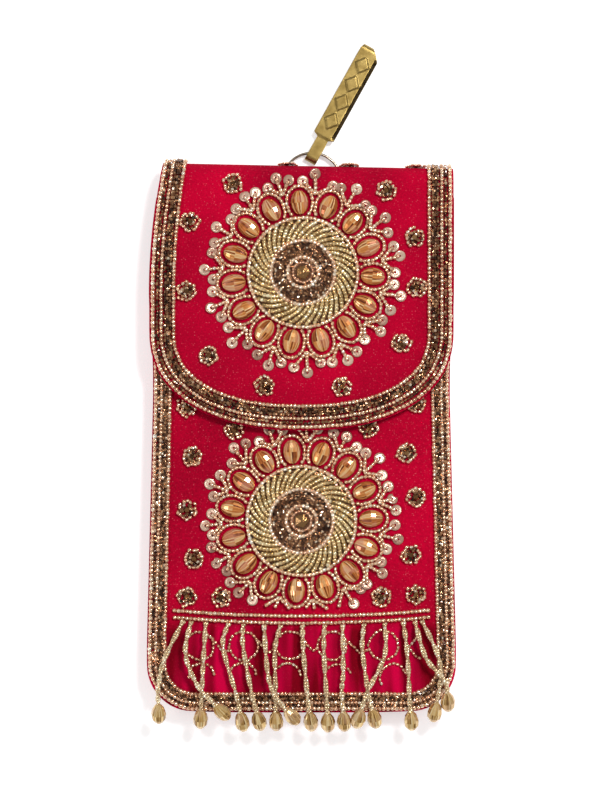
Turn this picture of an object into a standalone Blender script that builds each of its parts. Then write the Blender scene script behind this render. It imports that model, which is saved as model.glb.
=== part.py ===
# Embroidered velvet phone pouch with a flap, lying on its back.
# X runs across the pouch, +Y towards the folded top edge, +Z out of the embroidered front.
# The origin is on the back panel's outer face, at the middle of the pouch's width and height.

import math

import bmesh
import bpy
from mathutils import Matrix, Vector

# The pouch: two stiffened velvet panels, with a gusset between them.
POUCH_WIDTH = 0.1055
POUCH_HEIGHT = 0.1885
PANEL_THICKNESS = 0.0016
POCKET_DEPTH = 0.0094
GUSSET_THICKNESS = 0.0010
CORNER_RADIUS = 0.0145
MOUTH_SETBACK = 0.0120
SEAM_GAP = 0.0003
BACK_SLOPE_LENGTH = 0.0300
LEAN = 0.0048
LEAN_START_Y = 0.0480
LEAN_STEPS = (0.0750, 0.0665, 0.0570)

# The flap's front.
FLAP_WIDTH = 0.1050
FLAP_TIP_Y = 0.0016
FLAP_CURVE_LENGTH = 0.0345
FLAP_CURVE_POWER = 2.3

# The beaded border: five rows, from the outer edge inwards.
ROW_WIDTHS = (0.0016, 0.0012, 0.0016, 0.0027, 0.0016)
ROW_RISES = (0.0013, 0.0009, 0.0013, 0.0010, 0.0013)
ROW_BASE = 0.0004
BORDER_INSET = 0.0005
FRONT_BORDER_ROUNDING = 0.0012

# The medallions, in rings from the centre.
STONE_RADIUS = 0.0030
INNER_RING_RADIUS = 0.0050
FIELD_RING_RADIUS = 0.0113
ROPE_INNER_RADIUS = 0.0122
ROPE_OUTER_RADIUS = 0.0182
HUB_RADIUS = 0.0196
HUB_RISE = 0.0022
HUB_ROW = 0.0012
HUB_VALLEY_SHARE = 0.55
HUB_CREST_SHARE = 0.8
PETALS = 15
PETAL_RADIUS = 0.0241
PETAL_REACH = 0.0300
PETAL_HALF_WIDTH = 0.0049
CRYSTAL_LENGTH = 0.0082
CRYSTAL_WIDTH = 0.0058
CRYSTAL_RISE = 0.0026
SEQUIN_MIDDLE_RADIUS = 0.0332
SEQUIN_SIDE_RADIUS = 0.0320
SEQUIN_RADIUS = 0.0019
SEQUIN_ANGLE = math.radians(8.2)
STEM_WIDTH = 0.0012
PLATE_THICKNESS = 0.0008
FLAP_MEDALLION = (0.0005, 0.0561)
FLAP_MEDALLION_TURN = math.radians(-3.3)
FRONT_MEDALLION = (0.0000, -0.0297)
FRONT_MEDALLION_TURN = math.radians(1.8)

# The small rosettes, at places chosen on each panel.
ROSETTE_RADIUS = 0.0035
ROSETTE_STONE_RADIUS = 0.0023
ROSETTE_RISE = 0.0017
FLAP_ROSETTES = (
    (-0.0237, 0.0867), (-0.0385, 0.0736), (-0.0396, 0.0496), (-0.0320, 0.0275), (-0.0127, 0.0170),
    (0.0139, 0.0167), (0.0344, 0.0316), (0.0398, 0.0510), (0.0390, 0.0682), (0.0293, 0.0843),
)
FOLD_ROSETTES = (-0.0048, 0.0167, 0.0397)
FOLD_ROSETTE_ANGLE = math.radians(98)
FRONT_ROSETTES = (
    (-0.0396, 0.0097), (-0.0233, 0.0018), (-0.0378, -0.0075), (-0.0396, -0.0259), (-0.0372, -0.0428),
    (-0.0396, -0.0560), (-0.0277, -0.0562), (0.0276, -0.0560), (0.0396, -0.0553), (0.0380, -0.0415),
    (0.0396, -0.0215), (0.0364, -0.0062), (0.0234, 0.0025), (0.0396, 0.0111),
)

# The fringe: a header of two bead rows, and bead strands that end in crystal drops.
HEADER_Y = -0.0653
HEADER_ROW_WIDTH = 0.0014
HEADER_ROW_PITCH = 0.0031
HEADER_RISE = 0.0012
STRAND_DIAMETER = 0.0016
STRAND_REST = 0.0003
DROP_LENGTH = 0.0078
DROP_RADIUS = 0.0021
DROP_DROOP = math.radians(28)
STRANDS = (
    ((-0.0408, -0.0646), (-0.0474, -0.0776), (-0.0494, -0.0872), (-0.0494, -0.0935), 0),
    ((-0.0380, -0.0657), (-0.0400, -0.0751), (-0.0361, -0.0858), (-0.0293, -0.0935), 1),
    ((-0.0330, -0.0661), (-0.0339, -0.0780), (-0.0344, -0.0887), (-0.0347, -0.0952), 0),
    ((-0.0251, -0.0654), (-0.0271, -0.0728), (-0.0226, -0.0894), (-0.0211, -0.0963), 0),
    ((-0.0200, -0.0657), (-0.0202, -0.0728), (-0.0171, -0.0894), (-0.0154, -0.0961), 0),
    ((-0.0129, -0.0650), (-0.0117, -0.0816), (-0.0094, -0.0893), (-0.0050, -0.0949), 1),
    ((-0.0071, -0.0657), (-0.0092, -0.0740), (-0.0089, -0.0900), (-0.0088, -0.0960), 0),
    ((0.0004, -0.0656), (0.0006, -0.0738), (0.0022, -0.0918), (0.0028, -0.0962), 0),
    ((0.0081, -0.0656), (0.0077, -0.0738), (0.0088, -0.0925), (0.0090, -0.0965), 0),
    ((0.0142, -0.0652), (0.0144, -0.0812), (0.0139, -0.0887), (0.0145, -0.0962), 0),
    ((0.0217, -0.0648), (0.0210, -0.0738), (0.0232, -0.0898), (0.0245, -0.0953), 0),
    ((0.0288, -0.0656), (0.0286, -0.0762), (0.0227, -0.0886), (0.0205, -0.0952), 1),
    ((0.0352, -0.0648), (0.0366, -0.0762), (0.0373, -0.0913), (0.0377, -0.0959), 0),
    ((0.0392, -0.0648), (0.0428, -0.0766), (0.0494, -0.0846), (0.0502, -0.0892), 1),
    ((0.0416, -0.0641), (0.0472, -0.0765), (0.0479, -0.0848), (0.0466, -0.0930), 0),
)

# The magnetic snap under the flap.
SNAP_Y = 0.0175
SNAP_RADIUS = 0.0062
SNAP_STUD_RADIUS = 0.0035
SNAP_PLATE_THICKNESS = 0.0005

# The waist hook, a bent brass strip, on a steel split ring in a fabric loop behind the top edge.
RING_RADIUS = 0.0103
RING_WIRE = 0.0009
RING_TURN_PITCH = 0.0012
RING_TURNS = 1.8
RING_CENTRE_X = 0.0036
RING_BELOW_TOP = 0.0062
HOOK_SHEET = 0.0006
HOOK_CLEARANCE = 0.0003
HOOK_PLATE_WIDTH = 0.0078
HOOK_NECK_WIDTH = 0.0042
HOOK_NECK_LENGTH = 0.0065
HOOK_PLATE_LENGTH = 0.0350
HOOK_EYE_LENGTH = 0.0046
HOOK_EYE_DEPTH = 0.0018
HOOK_TONGUE_LENGTH = 0.0290
HOOK_TONGUE_WIDTH = 0.0064
HOOK_MOUTH = 0.0026
HOOK_TURN = math.radians(61)
LOOP_WIDTH = 0.0080
LOOP_CLOTH = 0.0005
LOOP_TAB = 0.0090

# Heights and places that follow from the sizes above.
HALF_WIDTH = POUCH_WIDTH / 2
BOTTOM_Y = -POUCH_HEIGHT / 2
TOP_Y = POUCH_HEIGHT / 2
FRONT_UNDER_Z = PANEL_THICKNESS + POCKET_DEPTH
FRONT_TOP_Z = FRONT_UNDER_Z + PANEL_THICKNESS
BORDER_HEIGHT = ROW_BASE + max(ROW_RISES)
FLAP_UNDER_Z = FRONT_TOP_Z + BORDER_HEIGHT + 2 * SEAM_GAP
FLAP_TOP_Z = FLAP_UNDER_Z + PANEL_THICKNESS
RING_HEIGHT = RING_WIRE + RING_TURN_PITCH
RING_Y = TOP_Y - RING_BELOW_TOP
RING_Z = HOOK_SHEET + HOOK_CLEARANCE + RING_HEIGHT / 2
SLOPE_END_Y = RING_Y - RING_RADIUS - LOOP_TAB
SLOPE_START_Y = SLOPE_END_Y - BACK_SLOPE_LENGTH
BACK_RISE = RING_Z + RING_HEIGHT / 2 + LOOP_CLOTH + 2 * SEAM_GAP
BACK_TOP_MID_Z = BACK_RISE + PANEL_THICKNESS / 2
FOLD_RADIUS = (FLAP_TOP_Z - PANEL_THICKNESS / 2 - BACK_TOP_MID_Z) / 2
FOLD_OUTER_RADIUS = FOLD_RADIUS + PANEL_THICKNESS / 2
FOLD_Y = TOP_Y - FOLD_OUTER_RADIUS
FOLD_Z = BACK_TOP_MID_Z + FOLD_RADIUS
MOUTH_Y = TOP_Y - MOUTH_SETBACK


def smooth_step(t):
    """0 to 1 with level ends."""
    t = min(max(t, 0.0), 1.0)
    return t * t * (3 - 2 * t)


def start_collection(name):
    made = bpy.data.collections.new(name)
    bpy.context.scene.collection.children.link(made)
    return made


def new_material(name, colour, roughness, metallic):
    made = bpy.data.materials.new(name)
    made.use_nodes = True
    shader = made.node_tree.nodes["Principled BSDF"]
    shader.inputs["Base Color"].default_value = (*colour, 1.0)
    shader.inputs["Roughness"].default_value = roughness
    shader.inputs["Metallic"].default_value = metallic
    made.diffuse_color = (*colour, 1.0)
    return made


def add_object(name, bm, material, collection):
    """A finished bmesh as an object, with its normals facing out."""
    bmesh.ops.recalc_face_normals(bm, faces=bm.faces)
    mesh = bpy.data.meshes.new(name)
    bm.to_mesh(mesh)
    bm.free()
    mesh.materials.append(material)
    made = bpy.data.objects.new(name, mesh)
    collection.objects.link(made)
    return made


def loft(bm, rows, close_rows=False):
    """Faces between neighbouring rows of points, each row an open line or a ring."""
    verts = [[bm.verts.new(point) for point in row] for row in rows]
    for low, high in zip(verts, verts[1:]):
        count = len(low)
        for i in range(count if close_rows else count - 1):
            j = (i + 1) % count
            bm.faces.new((low[i], low[j], high[j], high[i]))
    if close_rows:
        bm.faces.new(verts[0])
        bm.faces.new(verts[-1])
    return verts


def sheet_object(name, rows, thickness, material, collection):
    """A sheet through the rows, thickened to both sides."""
    bm = bmesh.new()
    loft(bm, rows)
    made = add_object(name, bm, material, collection)
    solid = made.modifiers.new("Thickness", "SOLIDIFY")
    solid.thickness = thickness
    solid.offset = 0
    solid.use_even_offset = True
    return made


def flat_object(name, outline, low, high, material, collection):
    """A flat outline as a 2D curve, filled and given its thickness."""
    curve = bpy.data.curves.new(name, "CURVE")
    curve.dimensions = "2D"
    curve.fill_mode = "BOTH"
    curve.extrude = (high - low) / 2
    curve.resolution_u = 1
    curve.render_resolution_u = 0
    spline = curve.splines.new("POLY")
    spline.points.add(len(outline) - 1)
    for point, (x, y) in zip(spline.points, outline):
        point.co = (x, y, 0, 1)
    spline.use_cyclic_u = True
    curve.materials.append(material)
    made = bpy.data.objects.new(name, curve)
    made.location.z = (low + high) / 2
    collection.objects.link(made)
    return made


def curve_to_mesh(source):
    """The curve's evaluated mesh as an object of the same name, its caps welded."""
    name, collection = source.name, source.users_collection[0]
    bpy.context.view_layer.update()
    evaluated = source.evaluated_get(bpy.context.evaluated_depsgraph_get())
    mesh = bpy.data.meshes.new_from_object(evaluated)
    bm = bmesh.new()
    bm.from_mesh(mesh)
    bmesh.ops.remove_doubles(bm, verts=bm.verts, dist=0.000001)
    bmesh.ops.recalc_face_normals(bm, faces=bm.faces)
    bm.to_mesh(mesh)
    bm.free()
    place = source.matrix_world.copy()
    bpy.data.objects.remove(source)
    made = bpy.data.objects.new(name, mesh)
    made.matrix_world = place
    collection.objects.link(made)
    return made


def tube_object(name, points, radius, material, collection, resolution=1):
    """A round tube along a line of points, with filled caps."""
    curve = bpy.data.curves.new(name, "CURVE")
    curve.dimensions = "3D"
    curve.bevel_depth = radius
    curve.bevel_resolution = resolution
    curve.use_fill_caps = True
    curve.resolution_u = 1
    curve.render_resolution_u = 0
    spline = curve.splines.new("POLY")
    spline.points.add(len(points) - 1)
    for point, place in zip(spline.points, points):
        point.co = (*place, 1)
    curve.materials.append(material)
    made = bpy.data.objects.new(name, curve)
    collection.objects.link(made)
    return made


def fuse(made, others):
    """Unions the hidden shapes into an object."""
    for other in others:
        other.hide_render = True
        other.display_type = "WIRE"
        union = made.modifiers.new("Fuse " + other.name, "BOOLEAN")
        union.operation = "UNION"
        union.object = other
    return made


# Panels

def leaned(x, y):
    """X of a point, moved in where the pouch's upper left side leans."""
    t = max((y - LEAN_START_Y) / (TOP_Y - LEAN_START_Y), 0.0)
    return x + LEAN * t**2 * max(-x / HALF_WIDTH, 0.0)


def corner_half_width(y, half_width, corner, bottom):
    """Half the width of an outline with rounded bottom corners, at height y."""
    rise = y - bottom
    if rise >= corner:
        return half_width
    return half_width - corner + math.sqrt(max(corner**2 - (corner - rise) ** 2, 0.0))


def corner_heights(bottom, corner, steps=6):
    """Heights that follow a rounded corner closely."""
    return [bottom + corner * (1 - math.cos(math.pi / 2 * (i + 0.5) / (steps + 0.5))) for i in range(steps + 1)]


def back_rise_at(y):
    """How far the back's outer face lifts off the surface, to leave room for the ring."""
    return BACK_RISE * smooth_step((y - SLOPE_START_Y) / BACK_SLOPE_LENGTH)


def slope_heights(steps=8):
    """Heights along the slope, from where the back lies flat to where it is fully lifted."""
    return [SLOPE_START_Y + BACK_SLOPE_LENGTH * i / steps for i in range(steps + 1)]


def flap_half_width(y):
    """Half the flap's width: straight sides, then a full curve to its lower edge."""
    half = FLAP_WIDTH / 2
    t = (FLAP_TIP_Y + FLAP_CURVE_LENGTH - y) / FLAP_CURVE_LENGTH
    if t <= 0:
        return half
    return half * (1 - min(t, 1.0) ** FLAP_CURVE_POWER) ** (1 / FLAP_CURVE_POWER)


def flap_curve(steps, inset=0.0):
    """The flap's lower outline, from its left side round to its right, moved inwards by inset."""
    half, length = FLAP_WIDTH / 2, FLAP_CURVE_LENGTH
    points = []
    for i in range(steps + 1):
        angle = math.pi * i / steps
        cosine, sine = math.cos(angle), max(math.sin(angle), 0.0)
        bend = 2 / FLAP_CURVE_POWER
        x = -half * math.copysign(abs(cosine) ** bend, cosine)
        y = FLAP_TIP_Y + length - length * sine**bend
        slope = Vector((
            -abs(cosine) ** (2 - bend) * math.copysign(1, cosine) / half,
            -sine ** (2 - bend) / length,
        )).normalized()
        points.append((x - slope.x * inset, y - slope.y * inset))
    return points


def make_back_and_flap(velvet, collection):
    """One stiffened velvet sheet: the back, the fold over the top, and the flap."""
    rows = []
    heights = corner_heights(BOTTOM_Y, CORNER_RADIUS) + slope_heights() + [LEAN_STEPS[0], FOLD_Y]
    for y in heights:
        half = corner_half_width(y, HALF_WIDTH, CORNER_RADIUS, BOTTOM_Y)
        half += (FLAP_WIDTH / 2 - HALF_WIDTH) * smooth_step((y - SLOPE_START_Y) / BACK_SLOPE_LENGTH)
        z = PANEL_THICKNESS / 2 + back_rise_at(y)
        rows.append([(leaned(-half, y), y, z), (half, y, z)])
    fold_steps = 12
    for i in range(1, fold_steps + 1):
        angle = -math.pi / 2 + math.pi * i / fold_steps
        y = FOLD_Y + FOLD_RADIUS * math.cos(angle)
        z = FOLD_Z + FOLD_RADIUS * math.sin(angle)
        rows.append([(leaned(-FLAP_WIDTH / 2, y), y, z), (FLAP_WIDTH / 2, y, z)])
    z = FLAP_TOP_Z - PANEL_THICKNESS / 2
    for y in LEAN_STEPS:
        rows.append([(leaned(-FLAP_WIDTH / 2, y), y, z), (FLAP_WIDTH / 2, y, z)])
    curve_steps = 12
    for i in range(curve_steps):
        turn = math.pi / 2 * i / (curve_steps - 0.6)
        y = FLAP_TIP_Y + FLAP_CURVE_LENGTH * (1 - math.sin(turn) ** (2 / FLAP_CURVE_POWER))
        half = flap_half_width(y)
        rows.append([(-half, y, z), (half, y, z)])
    return sheet_object("back_and_flap", rows, PANEL_THICKNESS, velvet, collection)


def panel_outline(half_width, corner, bottom, top):
    """A panel's outline, with rounded bottom corners and a leaning upper left side."""
    points = [(leaned(-half_width, y), y) for y in (top, *LEAN_STEPS) if y <= top]
    steps = 6
    for side in (-1, 1):
        for i in range(steps + 1):
            angle = math.pi / 2 * i / steps
            if side > 0:
                angle = math.pi / 2 - angle
            x = side * (half_width - corner + corner * math.cos(angle))
            points.append((x, bottom + corner - corner * math.sin(angle)))
    points.append((half_width, top))
    return points


def make_front_panel(velvet, collection):
    outline = panel_outline(HALF_WIDTH, CORNER_RADIUS, BOTTOM_Y, MOUTH_Y)
    return flat_object("front_panel", outline, FRONT_UNDER_Z, FRONT_TOP_Z, velvet, collection)


def make_gusset(velvet, collection):
    """The U-shaped wall that joins the two panels, one strip of velvet on edge."""
    inner = HALF_WIDTH - GUSSET_THICKNESS
    corner = CORNER_RADIUS - GUSSET_THICKNESS
    top = SLOPE_START_Y
    outer_line = panel_outline(HALF_WIDTH, CORNER_RADIUS, BOTTOM_Y, top)
    inner_line = panel_outline(inner, corner, BOTTOM_Y + GUSSET_THICKNESS, top)
    rows = []
    for heights in (outer_line, inner_line):
        rows.append(list(heights))
    low, high = PANEL_THICKNESS + SEAM_GAP, FRONT_UNDER_Z - SEAM_GAP
    bm = bmesh.new()
    rings = []
    for (xo, yo), (xi, yi) in zip(rows[0], rows[1]):
        rings.append([(xo, yo, low), (xo, yo, high), (xi, yi, high), (xi, yi, low)])
    for side, index in ((-1, 0), (1, len(rings) - 1)):
        risen = []
        for y in slope_heights()[1:] + [MOUTH_Y]:
            under = low + back_rise_at(y)
            outer_x, inner_x = leaned(side * HALF_WIDTH, y), leaned(side * inner, y)
            risen.append([(outer_x, y, under), (outer_x, y, high), (inner_x, y, high), (inner_x, y, under)])
        rings = risen[::-1] + rings if index == 0 else rings + risen
    loft(bm, rings, close_rows=True)
    return add_object("side_gusset", bm, velvet, collection)


# Beaded borders

def border_profile():
    """Points across the border as (distance in from the edge, height), one ridge for each row."""
    points = [(0.0, 0.0), (0.0, ROW_BASE)]
    start = 0.0
    for width, rise in zip(ROW_WIDTHS, ROW_RISES):
        points.append((start + width * 0.25, ROW_BASE + rise))
        points.append((start + width * 0.75, ROW_BASE + rise))
        start += width
        points.append((start, ROW_BASE))
    points.append((start, 0.0))
    return points


def flap_place(x, y, lift):
    """A point that stands lift above the flap's outer face; past the fold line, y goes on round the fold."""
    if y <= FOLD_Y:
        return (leaned(x, y), y, FLAP_TOP_Z + lift)
    angle = (y - FOLD_Y) / FOLD_OUTER_RADIUS
    radius = FOLD_OUTER_RADIUS + lift
    x = leaned(x, FOLD_Y + FOLD_OUTER_RADIUS * math.sin(angle))
    return (x, FOLD_Y + radius * math.sin(angle), FOLD_Z + radius * math.cos(angle))


def make_flap_border(gold, collection):
    """Five bead rows round the flap's edge, carried over the fold as far as its foremost line."""
    reach = FOLD_OUTER_RADIUS * math.pi / 2
    steps = 18
    rows = []
    edge = FLAP_WIDTH / 2 - BORDER_INSET
    fold_steps = 3
    heights = [FOLD_Y + reach * (fold_steps - i) / fold_steps for i in range(fold_steps + 1)]
    columns = [flap_curve(steps, BORDER_INSET + inwards) for inwards, _ in border_profile()]
    for y in heights + list(LEAN_STEPS):
        rows.append([flap_place(-edge + d, y, SEAM_GAP + h) for d, h in border_profile()])
    for i in range(steps + 1):
        row = []
        for (d, h), column in zip(border_profile(), columns):
            x, y = column[i]
            row.append(flap_place(x, y, SEAM_GAP + h))
        rows.append(row)
    for y in reversed(heights):
        rows.append([flap_place(edge - d, y, SEAM_GAP + h) for d, h in border_profile()])
    bm = bmesh.new()
    loft(bm, rows, close_rows=True)
    return add_object("flap_border", bm, gold, collection)


def make_front_border(gold, collection):
    """The same five rows down the front panel's sides and along its bottom."""
    columns = []
    for d, _ in border_profile():
        inset = BORDER_INSET + d
        corner = max(CORNER_RADIUS - inset, 0.0) + FRONT_BORDER_ROUNDING
        columns.append(panel_outline(HALF_WIDTH - inset, corner, BOTTOM_Y + inset, MOUTH_Y - BORDER_INSET))
    rows = []
    for i in range(len(columns[0])):
        rows.append([
            (*column[i], FRONT_TOP_Z + SEAM_GAP + h) for column, (_, h) in zip(columns, border_profile())
        ])
    bm = bmesh.new()
    loft(bm, rows, close_rows=True)
    return add_object("front_border", bm, gold, collection)


# Medallions

def medallion_outline(first_turn):
    """The outline of the stitched plate: rounded petals, with a fan of three stemmed sequins between them."""
    points = []
    pitch = math.tau / PETALS
    half_stem = STEM_WIDTH / 2
    half_length = PETAL_REACH - PETAL_RADIUS
    root = Vector((PETAL_REACH - half_stem * 4.6, 0))
    places = ((-SEQUIN_ANGLE, SEQUIN_SIDE_RADIUS), (0.0, SEQUIN_MIDDLE_RADIUS), (SEQUIN_ANGLE, SEQUIN_SIDE_RADIUS))
    sequins = [Matrix.Rotation(turn, 2) @ Vector((radius, 0)) for turn, radius in places]
    stems = [(sequin - root).normalized() for sequin in sequins]
    open_angle = math.asin(half_stem / SEQUIN_RADIUS)
    petal_steps, rim_steps = 4, 4
    petal_end = math.radians(68)
    for k in range(PETALS):
        petal = Matrix.Rotation(first_turn + pitch * k, 2)
        for i in range(petal_steps + 1):
            angle = petal_end * (2 * i / petal_steps - 1)
            points.append(petal @ Vector((
                PETAL_RADIUS + half_length * math.cos(angle), PETAL_HALF_WIDTH * math.sin(angle),
            )))
        fan = Matrix.Rotation(first_turn + pitch * (k + 0.5), 2)
        first = Vector((-stems[0].y, stems[0].x))
        points.append(fan @ (root - first * half_stem))
        for number, (centre, along) in enumerate(zip(sequins, stems)):
            across = Vector((-along.y, along.x))
            for i in range(rim_steps + 1):
                angle = -math.pi + open_angle + (math.tau - 2 * open_angle) * i / rim_steps
                points.append(fan @ (centre + (along * math.cos(angle) + across * math.sin(angle)) * SEQUIN_RADIUS))
            if number < 2:
                bisector = (along + stems[number + 1]).normalized()
                half_angle = along.angle(stems[number + 1]) / 2
                points.append(fan @ (root + bisector * half_stem / math.sin(half_angle)))
        last = Vector((-stems[2].y, stems[2].x))
        points.append(fan @ (root + last * half_stem))
    return [(p.x, p.y) for p in points]


def hub_profile():
    """Radius and height of the hub's rings, from the outer edge in to the centre stone."""
    valley = HUB_RISE * HUB_VALLEY_SHARE
    crest = HUB_RISE * HUB_CREST_SHARE
    return [
        (HUB_RADIUS, PLATE_THICKNESS / 2), (HUB_RADIUS, valley), (HUB_RADIUS - HUB_ROW / 2, crest),
        (ROPE_OUTER_RADIUS, valley), (ROPE_OUTER_RADIUS - HUB_ROW, HUB_RISE), (ROPE_INNER_RADIUS + HUB_ROW, HUB_RISE),
        (ROPE_INNER_RADIUS, valley), (FIELD_RING_RADIUS, crest), (FIELD_RING_RADIUS - HUB_ROW, valley),
        (INNER_RING_RADIUS + HUB_ROW / 2, valley), (INNER_RING_RADIUS, crest), (STONE_RADIUS, valley),
        (0.0, HUB_RISE),
    ]


def hub_bmesh(bm, segments):
    """The hub as rings of its profile, closed by a point at the centre and a flat underside."""
    rings = []
    for radius, height in hub_profile()[:-1]:
        ring = []
        for i in range(segments):
            angle = math.tau * i / segments
            ring.append(bm.verts.new((radius * math.cos(angle), radius * math.sin(angle), height)))
        rings.append(ring)
    top = bm.verts.new((0, 0, hub_profile()[-1][1]))
    for low, high in zip(rings, rings[1:]):
        for i in range(segments):
            j = (i + 1) % segments
            bm.faces.new((low[i], low[j], high[j], high[i]))
    for i in range(segments):
        bm.faces.new((rings[-1][i], rings[-1][(i + 1) % segments], top))
    bm.faces.new(rings[0][::-1])


def make_medallion(name, centre, first_turn, base_z, gold, collection, cutters):
    """The stitched plate, with the ringed hub and a ring of crystals standing on it."""
    plate = curve_to_mesh(flat_object(name, medallion_outline(first_turn), 0.0, PLATE_THICKNESS, gold, collection))
    raised = bmesh.new()
    hub_bmesh(raised, 24)
    for k in range(PETALS):
        turn = Matrix.Rotation(first_turn + math.tau * k / PETALS, 4, "Z")
        size = Matrix.Diagonal((CRYSTAL_LENGTH / 2, CRYSTAL_WIDTH / 2, CRYSTAL_RISE, 1))
        move = Matrix.Translation((PETAL_RADIUS, 0, PLATE_THICKNESS / 2))
        made = bmesh.ops.create_uvsphere(raised, u_segments=6, v_segments=4, radius=1, matrix=turn @ move @ size)
        for v in made["verts"]:
            v.co.z = max(v.co.z, PLATE_THICKNESS * 0.3)
    operand = add_object(name + "_raised", raised, gold, cutters)
    place = Matrix.Translation((*centre, base_z))
    plate.matrix_world = place @ plate.matrix_world
    operand.matrix_world = place
    return fuse(plate, [operand])


def trim_below(made, y, cutters):
    """Cuts an object off at y, where its lowest sequins tuck against the bead rows below."""
    side = POUCH_WIDTH
    bm = bmesh.new()
    bmesh.ops.create_cube(bm, size=side, matrix=Matrix.Translation((0, y - side / 2, FRONT_TOP_Z)))
    cutter = bpy.data.objects.new(made.name + "_trim", bpy.data.meshes.new(made.name + "_trim"))
    bm.to_mesh(cutter.data)
    bm.free()
    cutter.hide_render = True
    cutter.display_type = "WIRE"
    cutters.objects.link(cutter)
    cut = made.modifiers.new("Trim", "BOOLEAN")
    cut.operation = "DIFFERENCE"
    cut.object = cutter


# Rosettes and the snap

def turned_object(name, profile, segments, place, material, collection):
    """A profile of (radius, height) from the outer rim to the axis, spun about Z with a Screw."""
    mesh = bpy.data.meshes.new(name)
    points = [(radius, 0, height) for radius, height in profile]
    mesh.from_pydata(points, [(i, i + 1) for i in range(len(points) - 1)], [])
    mesh.materials.append(material)
    made = bpy.data.objects.new(name, mesh)
    collection.objects.link(made)
    made.location = place
    screw = made.modifiers.new("Turn", "SCREW")
    screw.steps = segments
    screw.render_steps = segments
    screw.use_merge_vertices = True
    screw.merge_threshold = 0.00001
    return made


def rosette_profile():
    """A ring of beads round a cut stone, from the axis out and back under."""
    lip = (ROSETTE_STONE_RADIUS + ROSETTE_RADIUS) / 2
    return [
        (0.0, ROSETTE_RISE), (ROSETTE_STONE_RADIUS, ROSETTE_RISE * 0.5), (lip, ROSETTE_RISE * 0.7),
        (ROSETTE_RADIUS, ROSETTE_RISE * 0.4), (ROSETTE_RADIUS, 0.0), (0.0, 0.0),
    ]


def make_rosettes(prefix, places, base_z, gold, collection):
    for number, (x, y) in enumerate(places, 1):
        turned_object(f"{prefix}_{number:02d}", rosette_profile(), 8, (x, y, base_z), gold, collection)


def make_fold_rosettes(gold, collection):
    """Three rosettes behind the top edge, on the round of the fold."""
    radius = FOLD_OUTER_RADIUS + SEAM_GAP
    for number, x in enumerate(FOLD_ROSETTES, 1):
        y = FOLD_Y + radius * math.sin(FOLD_ROSETTE_ANGLE)
        z = FOLD_Z + radius * math.cos(FOLD_ROSETTE_ANGLE)
        made = turned_object(f"fold_rosette_{number:02d}", rosette_profile(), 8, (x, y, z), gold, collection)
        made.rotation_euler.x = -FOLD_ROSETTE_ANGLE


def make_snap(steel, collection):
    """A magnetic snap: a dished socket on the front panel and a stud on the flap's lining."""
    low = FRONT_TOP_Z + SEAM_GAP
    plate = SNAP_PLATE_THICKNESS
    hole = SNAP_STUD_RADIUS + SEAM_GAP
    socket = [
        (hole, plate * 2), (SNAP_RADIUS - plate, plate * 2), (SNAP_RADIUS, plate), (SNAP_RADIUS, 0.0), (0.0, 0.0),
        (0.0, plate * 0.8), (hole, plate * 0.8), (hole, plate * 2),
    ]
    turned_object("snap_socket", socket, 16, (0, SNAP_Y, low), steel, collection)
    top = FLAP_UNDER_Z - SEAM_GAP
    reach = top - (low + plate * 0.8 + SEAM_GAP)
    stud = [
        (0.0, 0.0), (SNAP_RADIUS - plate, 0.0), (SNAP_RADIUS - plate, -plate * 0.5),
        (SNAP_STUD_RADIUS, -plate * 0.5), (SNAP_STUD_RADIUS, -reach), (0.0, -reach),
    ]
    turned_object("snap_stud", stud, 16, (0, SNAP_Y, top), steel, collection)


# Fringe

def make_header(gold, collection):
    """Two straight bead rows, sewn as one narrow band, that the strands hang from."""
    half = HALF_WIDTH - BORDER_INSET - sum(ROW_WIDTHS) - SEAM_GAP
    z = FRONT_TOP_Z + SEAM_GAP
    profile = []
    for row in (0, 1):
        start = row * HEADER_ROW_PITCH
        profile += [
            (start, ROW_BASE), (start + HEADER_ROW_WIDTH * 0.25, HEADER_RISE),
            (start + HEADER_ROW_WIDTH * 0.75, HEADER_RISE), (start + HEADER_ROW_WIDTH, ROW_BASE),
        ]
    profile = [(0.0, 0.0)] + profile + [(HEADER_ROW_PITCH + HEADER_ROW_WIDTH, 0.0)]
    rows = [[(x, HEADER_Y + d, z + h) for d, h in profile] for x in (-half, half)]
    bm = bmesh.new()
    loft(bm, rows, close_rows=True)
    return add_object("fringe_header", bm, gold, collection)


def strand_points(places, layer):
    """A smooth line through a strand's four places, over the border and a little down past the edge."""
    steps = 6
    rest = FRONT_TOP_Z + BORDER_HEIGHT + SEAM_GAP + STRAND_REST + STRAND_DIAMETER / 2
    start = FRONT_TOP_Z + SEAM_GAP + STRAND_REST + STRAND_DIAMETER / 2
    over = layer * (STRAND_DIAMETER + STRAND_REST)
    points = []
    places = [(places[0][0], HEADER_Y - SEAM_GAP - STRAND_DIAMETER * 0.75)] + list(places[1:])
    for i in range(steps + 1):
        t = i / steps * (len(places) - 1)
        k = min(int(t), len(places) - 2)
        t -= k
        before, after = places[max(k - 1, 0)], places[min(k + 2, len(places) - 1)]
        x, y = (
            0.5 * (2 * b + (c - a) * t + (2 * a - 5 * b + 4 * c - d) * t**2 + (3 * b - a - 3 * c + d) * t**3)
            for a, b, c, d in zip(before, places[k], places[k + 1], after)
        )
        along = i / steps
        z = start + (rest - start + over) * smooth_step(along * steps)
        points.append(Vector((x, y, z)))
    return points


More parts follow.
